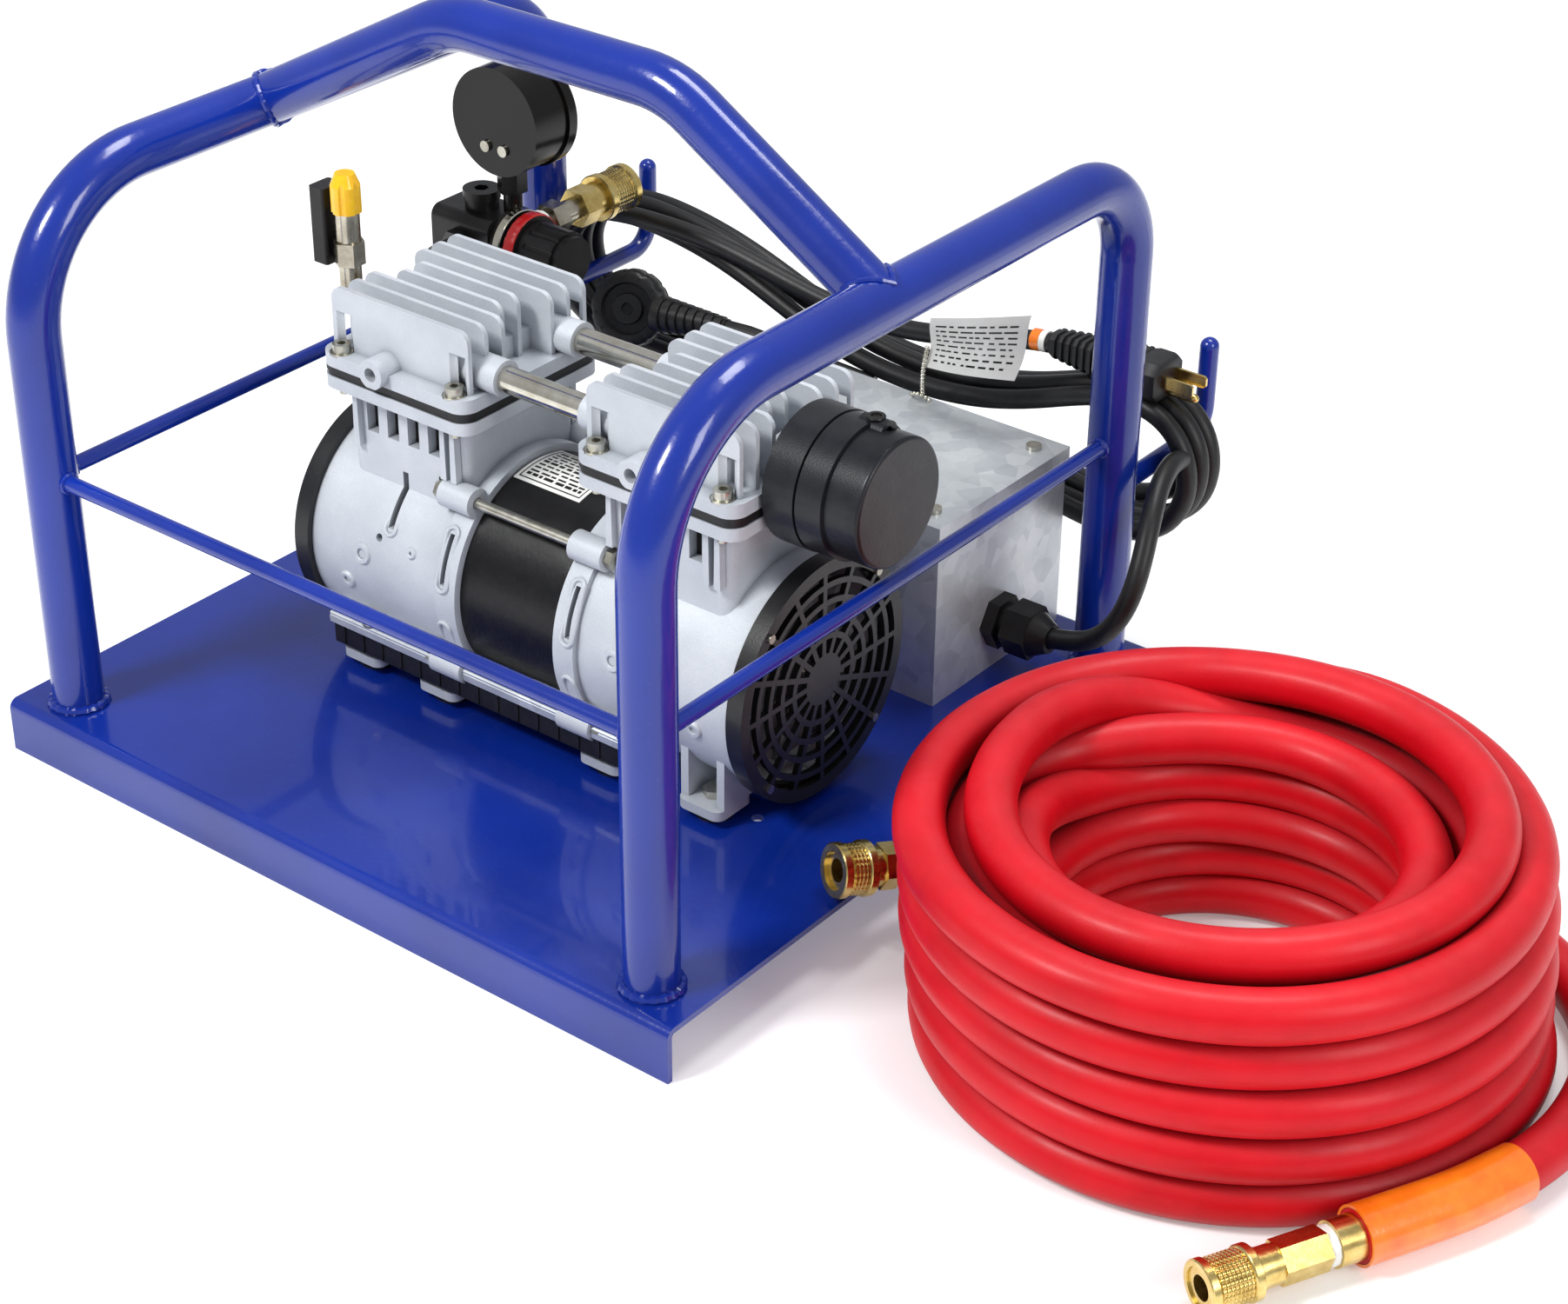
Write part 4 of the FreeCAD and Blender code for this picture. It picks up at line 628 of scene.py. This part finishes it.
def circle(c, u, w, r, n, fn=None):
    c, u, w = Vector(c), Vector(u), Vector(w)
    out = []
    for k in range(n):
        a = 2.0 * math.pi * k / n
        p = c + u * (r * math.cos(a)) + w * (r * math.sin(a))
        out.append(p + fn(a) if fn else p)
    return out


PX0 = 186.0
# weld beads: post feet, handle, rails and hooks
w = Build()
for sx in (-1, 1):
    for py in (-211.0, 141.0):
        w.tube(circle((sx * PX0, py, 29.0), (1, 0, 0), (0, 1, 0), 13.1, 66), 2.3, 8, True, 0.35, int(py) + sx)
    d = Vector((-sx * (128.0 if sx < 0 else 114.0), 0.0, 69.5)).normalized()
    v = Vector((-d.z, 0.0, d.x))
    w.tube([Vector((sx * PX0, -56.0, 297.0)) + Vector((0, 1, 0)) * (12.8 * math.cos(a)) + v * (12.8 * math.sin(a)) + d * (12.8 * abs(math.cos(a)) + 0.1)
            for a in [2 * math.pi * k / 72 for k in range(72)]], 1.5, 8, True, 0.35, 5 + sx)
    for py, s in ((-211.0, 1.0), (141.0, -1.0)):
        w.tube([(sx * PX0 + 4.2 * math.cos(a), py + s * (math.sqrt(12.7 ** 2 - (4.2 * math.cos(a)) ** 2) + 0.2), 154.0 + 4.2 * math.sin(a))
                for a in [2 * math.pi * k / 28 for k in range(28)]], 1.3, 8, True, 0.35, 9)
    w.tube([(sx * (PX0 - math.sqrt(12.7 ** 2 - (4.2 * math.cos(a)) ** 2) - 0.2), -211.0 + 4.2 * math.cos(a), 154.0 + 4.2 * math.sin(a))
            for a in [2 * math.pi * k / 28 for k in range(28)]], 1.3, 8, True, 0.35, 12)
    w.tube([(sx * PX0 + 5.2 * math.cos(a), 141.0 + math.sqrt(12.7 ** 2 - (5.2 * math.cos(a)) ** 2) + 0.2, 125.0 + 5.2 * math.sin(a))
            for a in [2 * math.pi * k / 32 for k in range(32)]], 1.5, 8, True, 0.35, 17)
w.make("weld_beads", "paint")

# rating plate: white with ruled lines, no lettering
w = Build()
w.patch(-22.0, 20.0, 72.5, 108.0, 57.05, 0.35)
w.make("stator_label", "white")
w = Build()
rnd = random.Random(4)
for a in (74.6, 105.6):
    w.patch(-20.2, 18.2, a, a + 0.7, 57.38, 0.12, 2)
for x in (-20.2, 17.6):
    w.patch(x, x + 0.6, 74.6, 106.0, 57.38, 0.12, 10)
for i in range(9):
    a = 77.4 + i * 3.1
    x = -18.0
    while x < 15.0:
        L = rnd.uniform(1.5, 6.0)
        w.patch(x, min(16.2, x + L), a, a + (1.9 if i % 4 == 0 else 1.2), 57.38, 0.12, 2)
        x += L + rnd.uniform(0.8, 2.0)
w.make("stator_label_lines", "black")

# raised rims round the cooling slots, bosses on the barrels
w = Build()


def slot_rim(xc, z0, z1, half, R=58.0, r=1.25, side=-1.0, off=0.2):
    pts = []
    a0, a1 = [math.asin(max(-1.0, min(1.0, (z - 94.0) / R))) for z in (z0, z1)]
    for k in range(12):
        t = math.pi * k / 11.0
        pts.append((xc + half * math.cos(t), a1 + half * math.sin(t) / R))
    for k in range(12):
        t = math.pi + math.pi * k / 11.0
        pts.append((xc + half * math.cos(t), a0 + half * math.sin(t) / R))
    w.tube([(x, -48.5 + side * (R + off) * math.cos(a), 94.0 + (R + off) * math.sin(a)) for x, a in pts], r, 8, True)


for side in (-1.0, 1.0):
    for cx, s, xin in ((-69.5, 1.0, -23.0), (92.5, -1.0, 40.0)):
        slot_rim(cx - 2.0 * s, 118.0, 144.0, 3.3, 58.0, 1.1, side)
        slot_rim(xin - 8.5 * s, 104.0, 128.0, 3.4, 61.0 if abs(xin - 8.5 * s - xin) < 12.5 else 58.0, 1.2, side)
        slot_rim(xin - 8.5 * s, 58.0 if side < 0 else 58.0, 80.0, 3.4, 61.0, 1.2, side)
for cx, s in ((-69.5, 1.0), (92.5, -1.0)):
    for x, ang, rr_, bore in ((cx - 18.0, 6.6, 5.2, 2.6), (cx + 14.0, 17.0, 2.6, 0.8), (cx - 30.0 * s, -12.0, 4.2, 1.8)):
        a = math.radians(ang)
        d = Vector((0.0, -math.cos(a), math.sin(a)))
        o = Vector((x, -48.5, 94.0)) + d * 57.4
        w.lathe(o, d, [(0.0, 0.05), (0.0, rr_ + 0.8), (1.1, rr_ + 0.4), (1.9, rr_ - 0.3), (1.9, bore + 0.5), (1.5, bore), (0.7, bore - 0.1), (0.7, 0.05)], 32)
# ribs under the decks
for cx in (-69.5, 92.5):
    for dx in (-30.5, 27.0, 33.5):
        for y0, y1 in ((-92.6, -88.6), (-9.4, -5.4)):
            x = cx + dx
            w.shell([[(x - q, y0 if y0 < -50 else y0, z), (x + q, y0, z), (x + q, y1, z), (x - q, y1, z)] for z, q in ((151.0, 1.9), (181.2, 1.4))])
w.make("housing_ribs", "cast")
# black sheets behind the windows and inside the slots stand in for the shade inside the housing
w = Build()
for cx in (-69.5, 92.5):
    for y0, y1 in ((-83.6, -83.0), (-15.0, -14.4)):
        w.shell([[(cx - 28.5, y0, z), (cx + 24.5, y0, z), (cx + 24.5, y1, z), (cx - 28.5, y1, z)] for z in (157.5, 178.5)])
for side in (-1.0, 1.0):
    for x, a0, a1 in ((-71.5, 23.0, 62.0), (94.5, 23.0, 62.0), (-31.5, 8.0, 38.0), (48.5, 8.0, 38.0), (-31.5, -42.0, -12.0), (48.5, -42.0, -12.0)):
        if side < 0:
            w.patch(x - 4.5, x + 4.5, a0, a1, 52.7, 0.5)
        else:
            w.patch(x - 4.5, x + 4.5, 180.0 - a1, 180.0 - a0, 52.7, 0.5)
w.make("shade_sheets", "black")

# washers under the head screws
w = Build()
for cx in (-69.5, 92.5):
    for sx in (-37.0, 37.0):
        for sy in (-43.5, 43.5):
            o = (cx + sx, -49.0 + sy, 198.55)
            w.lathe(o, (0, 0, 1), [(0.0, 2.9), (0.0, 5.75), (0.9, 5.75), (1.1, 5.5), (1.1, 2.9)], 28)
w.make("head_washers", "zinc")

# regulator: silver and red rings with grip flutes
w = Build()
w.lathe((-144.2, 72.0, 190.0), (1, 0, 0), [(0.0, 17.0), (0.0, 18.4), (0.6, 19.0), (4.4, 19.0), (5.0, 18.4), (5.0, 17.0)], 72)
w.make("regulator_ring", "bright")
w = Build()
w.lathe((-136.8, 72.0, 190.0), (1, 0, 0), [(0.0, 17.0), (0.0, 18.3), (0.7, 18.7), (5.9, 18.7), (6.6, 18.2), (6.6, 17.0)], 96,
        lambda t, r, k: 0.22 if r > 18.0 and k % 4 < 2 else 0.0)
w.make("regulator_lock_ring", "red")

# gauge scale: ticks and numerals on the dial, read from the rear
w = Build()
gx, gz = -148.5, 258.0
for i in range(41):
    a = math.radians(225.0 + 270.0 * i / 40.0)
    L, t = (4.6, 0.5) if i % 5 == 0 else (2.4, 0.26)
    e, n_ = Vector((math.sin(a), 0, math.cos(a))), Vector((math.cos(a), 0, -math.sin(a)))
    c = Vector((gx, 88.15, gz))
    p = [c + e * (22.6 - L) - n_ * t, c + e * (22.6 - L) + n_ * t, c + e * 22.6 + n_ * t, c + e * 22.6 - n_ * t]
    w.shell([p, [q + Vector((0, 0.15, 0)) for q in p]])
SEG7 = {"0": "abcdef", "2": "abged", "4": "fgbc", "6": "afgedc", "8": "abcdefg"}
for j, ch in enumerate("02468"):
    a = math.radians(225.0 + 270.0 * j / 4.0)
    c = Vector((gx + 14.2 * math.sin(a), 88.15, gz + 14.2 * math.cos(a)))
    for sname in SEG7[ch]:
        # seen from +Y the reader's right is -X
        x0, x1, z0, z1 = {"a": (-1.1, 1.1, 1.9, 2.3), "g": (-1.1, 1.1, -0.2, 0.2), "d": (-1.1, 1.1, -2.3, -1.9), "b": (0.8, 1.2, 0.0, 2.2),
                          "c": (0.8, 1.2, -2.2, 0.0), "f": (-1.2, -0.8, 0.0, 2.2), "e": (-1.2, -0.8, -2.2, 0.0)}[sname]
        p = [(c.x - x0, 88.15, c.z + z0), (c.x - x1, 88.15, c.z + z0), (c.x - x1, 88.15, c.z + z1), (c.x - x0, 88.15, c.z + z1)]
        w.shell([p, [(x, 88.3, z) for x, _, z in p]])
w.make("gauge_scale", "black")


# brass sleeves with turned ribs
def ribbed(L, r0, r1, bore, band):
    """Closed sleeve profile: plain collar, ribs, collar."""
    prof = [(0.0, bore), (0.0, r1 - 0.6), (0.5, r1), (band - 0.5, r1), (band, r1 - 0.4)]
    t = band + 0.5
    while t < L - band - 0.6:
        prof += [(t, r0 - 0.55), (t + 0.55, r0), (t + 1.1, r0), (t + 1.5, r0 - 0.55)]
        t += 1.9
    prof += [(L - band + 0.2, r1 - 0.5), (L - band + 0.6, r1 - 0.1), (L - 0.5, r1 - 0.1), (L, r1 - 0.7), (L, bore)]
    return prof


w = Build()
w.lathe((-150.0, 143.0, 190.0), (0, 1, 0), ribbed(24.0, 12.0, 13.0, 9.56, 5.0), 96, lambda t, r, k: -0.4 if k % 4 == 0 and 5.4 < t < 18.5 and r > 11.2 else 0.0)
w.make("coupler_sleeve_turned", "brass", "outlet_sleeve", True, ("coupler_sleeve",))
D0 = Vector((-0.447, -0.894, 0.0)).normalized()
E0 = Vector((499.0, -148.0, 14.0))
w = Build()
w.lathe(E0 + D0 * 49.0, D0, ribbed(24.0, 11.2, 12.0, 9.06, 4.2), 96, lambda t, r, k: -0.4 if k % 4 == 0 and 4.6 < t < 19.4 and r > 10.4 else 0.0)
w.make("front_sleeve_turned", "brass", "hose_sleeve_front", True, ("hose_sleeve_a",))
B0 = STUB0 + DB * 50.0
w = Build()
w.lathe(B0 + DB * 16.5, DB, ribbed(17.5, 12.0, 13.0, 9.06, 4.4), 96, lambda t, r, k: -0.4 if k % 4 == 0 and 4.8 < t < 12.8 and r > 11.2 else 0.0)
w.make("rear_sleeve_turned", "brass", "hose_sleeve_rear", True, ("hose_sleeve_b",))
# white thread tape, wound unevenly
w = Build()
w.lathe(E0 + D0 * 11.8, D0, [(0.0, 8.0), (0.2, 8.7), (1.3, 8.9), (2.1, 8.6), (3.2, 8.8), (4.0, 8.3), (4.0, 8.0)], 48, lambda t, r, k: 0.12 * math.sin(k * 1.7 + t) if r > 8.1 else 0.0)
w.make("thread_tape_front", "white", "hose")
w = Build()
w.lathe((-150.0, 95.0, 190.0), (0, 1, 0), [(0.0, 7.0), (0.3, 7.8), (2.0, 7.9), (3.8, 7.7), (5.0, 7.3), (5.0, 7.0)], 48, lambda t, r, k: 0.12 * math.sin(k * 1.7 + t) if r > 7.1 else 0.0)
TAPE = w.make("thread_tape_rear", "white")

# mains plug: ribbed grip, moulded front, brass blades and a round earth pin
w = Build()


def sq(x, hy, hz, c, cy=190.0, cz=168.0):
    return [(x, cy + a, cz + b) for a, b in ((-hy + c, -hz), (hy - c, -hz), (hy, -hz + c), (hy, hz - c), (hy - c, hz), (-hy + c, hz), (-hy, hz - c), (-hy, -hz + c))]


rings = [sq(117.0, 5.6, 5.6, 2.2), sq(118.0, 6.1, 6.1, 2.3)]
for k in range(6):
    x = 119.5 + k * 4.6
    q = 6.0 + 0.42 * k
    rings += [sq(x, q, q, 2.3), sq(x + 0.4, q + 0.9, q + 0.9, 2.6), sq(x + 2.4, q + 1.0, q + 1.0, 2.6), sq(x + 2.8, q, q, 2.3)]
rings += [sq(148.5, 9.2, 8.6, 3.2), sq(151.0, 12.6, 9.9, 4.0), sq(154.0, 13.7, 10.4, 4.6), sq(158.0, 13.0, 10.0, 4.4)]
for k in range(3):
    x = 160.0 + k * 4.4
    rings += [sq(x, 12.5, 9.7, 4.2), sq(x + 0.5, 13.3, 10.2, 4.5), sq(x + 2.2, 13.3, 10.2, 4.5), sq(x + 2.8, 12.5, 9.7, 4.2)]
rings += [sq(175.0, 13.9, 10.4, 4.6), sq(183.0, 13.9, 10.4, 4.6), sq(185.2, 13.2, 9.8, 4.4), sq(186.0, 12.0, 8.8, 4.0)]
w.shell(rings)
PLUG = w.make("plug_moulding", "rubber", "root", True, ("power_plug",))
w = Build()
for dy in (-6.35, 6.35):
    y = 190.0 + dy
    w.shell([[(x, y - 0.8, 168.0 + a), (x, y + 0.8, 168.0 + a), (x, y + 0.8, 168.0 + b), (x, y - 0.8, 168.0 + b)]
             for x, a, b in ((185.5, -2.0, 4.2), (202.6, -2.0, 4.2), (203.9, -0.9, 3.1))])
w.lathe((185.5, 190.0, 162.0), (1, 0, 0), [(0.0, 0.05), (0.0, 2.35), (15.5, 2.35), (17.2, 1.9), (18.0, 0.9), (18.2, 0.05)], 28)
BLADES = w.make("plug_blades", "brass")

# strip along the front feet with its bolts, and a black skirt that stands in for the shadow under the rail
w = Build()
w.box(-114.0, 82.0, -106.5, -97.0, 56.6, 58.8, 0.7)
w.box(-114.0, 82.0, -106.5, -104.7, 52.5, 57.2, 0.6)
w.make("foot_strip", "galv")
# black ribbed skirt: a dark sheet placed where the rail casts its shadow
w = Build()
w.box(-113.0, 81.0, -104.4, -102.8, 40.5, 56.8, 0.5)
for i in range(15):
    x = -108.0 + i * 13.0
    w.box(x, x + 3.0, -105.2, -104.2, 41.5, 52.2, 0.3)
w.make("foot_shadow_skirt", "rubber")
w = Build()
for x in (-88.0, -33.0, 58.0):
    w.lathe((x, -101.6, 58.7), (0, 0, 1), [(0.0, 0.05), (0.0, 5.4), (0.9, 5.4), (1.1, 5.1), (1.1, 0.05)], 30)
    hexr = [(x + 4.4 * math.cos(math.pi / 3 * k + 0.3), -101.6 + 4.4 * math.sin(math.pi / 3 * k + 0.3)) for k in range(6)]
    hexs = [(x + 3.7 * math.cos(math.pi / 3 * k + 0.3), -101.6 + 3.7 * math.sin(math.pi / 3 * k + 0.3)) for k in range(6)]
    w.shell([[(a, b, 59.7) for a, b in hexr], [(a, b, 63.0) for a, b in hexr], [(a, b, 63.7) for a, b in hexs]])
w.make("foot_strip_bolts", "zinc")

# paper tag on a bead tie
w = Build()
TL, TR, BR, BL = (62.9, 160.0, 177.0), (123.8, 160.0, 196.0), (114.1, 160.0, 156.0), (58.6, 160.0, 147.2)


def tag_at(u, v, off=0.0):
    a = Vector(TL).lerp(Vector(TR), u)
    b = Vector(BL).lerp(Vector(BR), u)
    p = b.lerp(a, v)
    return p + Vector((0.0, -5.0 * math.sin(math.pi * u) + 2.5 * math.sin(5.0 * v) + off, 1.2 * math.sin(3.0 * u)))


for half in (0,):
    rings = []
    for i in range(25):
        u = i / 24.0
        rings.append([tag_at(u, v / 10.0, -0.15) for v in range(11)] + [tag_at(u, v / 10.0, 0.15) for v in range(10, -1, -1)])
    w.shell(rings)
w.make("paper_tag", "white")
w = Build()
rnd = random.Random(8)
for j in range(8):
    v0 = 0.12 + j * 0.1
    u = 0.08
    while u < 0.88:
        L = rnd.uniform(0.03, 0.13)
        for off in (-0.27, 0.27):
            q = [tag_at(u, v0, off), tag_at(min(0.92, u + L), v0, off), tag_at(min(0.92, u + L), v0 + 0.03, off), tag_at(u, v0 + 0.03, off)]
            w.shell([q, [p + Vector((0, 0.1 if off < 0 else -0.1, 0)) for p in q]])
        u += L + rnd.uniform(0.02, 0.05)
w.make("paper_tag_lines", "black")
w = Build()


def bead(c, r, n=12):
    w.lathe((c[0], c[1], c[2] - r), (0, 0, 1), [(r - r * math.cos(math.pi * k / 8.0), max(0.03, r * math.sin(math.pi * k / 8.0))) for k in range(9)], n)


for k in range(13):
    t = k / 12.0
    bead((59.6 - 2.0 * t, 160.0 - 1.6 * math.sin(math.pi * t), 158.0 - 26.0 * t), 1.35)
for k in range(14):
    a = 2.0 * math.pi * k / 14.0
    bead((57.6 + 6.0 * math.cos(a), 158.8 - 1.4 * math.sin(a), 128.6 + 3.2 * math.sin(a)), 1.2)
w.make("tag_bead_tie", "bright")

# moulded cord connector behind the regulator, with its strain relief
CN = Vector((-134.0, 152.0, 127.0))
DN = Vector((0.38, -0.86, 0.34)).normalized()
w = Build()
w.lathe(CN, DN, [(-9.0, 0.05), (-9.0, 17.0), (-7.0, 20.0), (-3.0, 21.6), (-2.2, 20.6), (-1.2, 20.6), (-0.6, 21.6), (2.6, 21.6), (3.3, 20.6), (4.3, 20.6),
                 (5.0, 21.4), (8.2, 20.6), (9.6, 18.6), (9.6, 14.6), (6.4, 13.6), (6.4, 8.8), (8.8, 8.2), (8.8, 3.4), (7.2, 2.8), (7.2, 0.05)], 72,
        lambda t, r, k: -0.7 if r > 19.5 and k % 6 == 0 else 0.0)
ax = Vector((0.985, 0.16, 0.03)).normalized()
prof = [(0.0, 0.05), (0.0, 10.5)]
for k in range(8):
    t, q = 2.0 + k * 5.2, 10.6 - 0.62 * k
    prof += [(t, q), (t + 3.1, q - 0.15), (t + 3.5, q - 1.5), (t + 4.8, q - 1.6)]
prof += [(44.0, 5.3), (44.0, 0.05)]
w.lathe(CN + ax * 17.0, ax, prof, 40)
w.tube([tuple(CN + ax * 58.0), (-60.0, 163.0, 129.0), (-38.0, 167.0, 126.0), (-14.0, 171.5, 121.0), (14.0, 176.5, 117.0)], 4.8, 14)
w.make("cord_connector", "rubber")

# coloured band on the plug's cord
w = Build()
w.lathe((105.5, 190.0, 166.1), (0.995, 0.0, 0.1), [(0.0, 4.9), (0.0, 5.75), (5.2, 5.75), (5.2, 4.9)], 40)
w.make("cord_band_orange", "orange")
w = Build()
w.lathe((110.9, 190.0, 166.65), (0.995, 0.0, 0.1), [(0.0, 4.9), (0.0, 5.7), (3.6, 5.7), (3.6, 4.9)], 40)
w.make("cord_band_white", "white")

# screw in the filter cap's boss
w = Build()
w.lathe((174.5, -41.0, 233.3), (0, 0, 1), [(0.0, 0.05), (0.0, 4.3), (0.6, 4.5), (1.1, 4.2), (1.2, 2.5), (0.4, 2.3), (0.4, 0.05)], 30)
w.make("filter_screw", "black")

# ------------------------------------------------------------ floor, light
me = bpy.data.meshes.new("floor")
s = 6.0
me.from_pydata([(-s, -s, 0), (s, -s, 0), (s, s, 0), (-s, s, 0)], [], [(0, 1, 2, 3)])
floor = bpy.data.objects.new("floor", me)
bpy.context.scene.collection.objects.link(floor)
fm = Mat("floor_pale", Roughness=0.6, Specular_IOR_Level=0.2)
fm.color((0.86, 0.86, 0.86, 1.0))
fm.set("Emission Color", (1.0, 1.0, 1.0, 1.0))
fm.set("Emission Strength", 0.22)
me.materials.append(fm.m)

world = bpy.data.worlds.new("studio")
bpy.context.scene.world = world
world.use_nodes = True
world.node_tree.nodes["Background"].inputs["Color"].default_value = (0.93, 0.95, 1.0, 1.0)
world.node_tree.nodes["Background"].inputs["Strength"].default_value = 0.5


bpy.context.scene.view_settings.view_transform = "Standard"


def area(name, loc, target, size, power, color=(1, 1, 1)):
    d = bpy.data.lights.new(name, "AREA")
    d.shape = "RECTANGLE"
    d.size, d.size_y = size
    d.energy = power
    d.color = color
    o = bpy.data.objects.new(name, d)
    bpy.context.scene.collection.objects.link(o)
    o.location = loc
    o.rotation_euler = (Vector(target) - Vector(loc)).to_track_quat("-Z", "Y").to_euler()
    return o


area("key", (-0.5, -1.5, 1.8), (0.0, 0.0, 0.15), (0.5, 0.5), 38.0)
area("fill", (1.9, -0.3, 1.2), (0.1, 0.0, 0.15), (0.5, 0.9), 14.0)
area("top", (0.1, 0.5, 2.2), (0.05, 0.0, 0.1), (1.0, 0.6), 24.0)
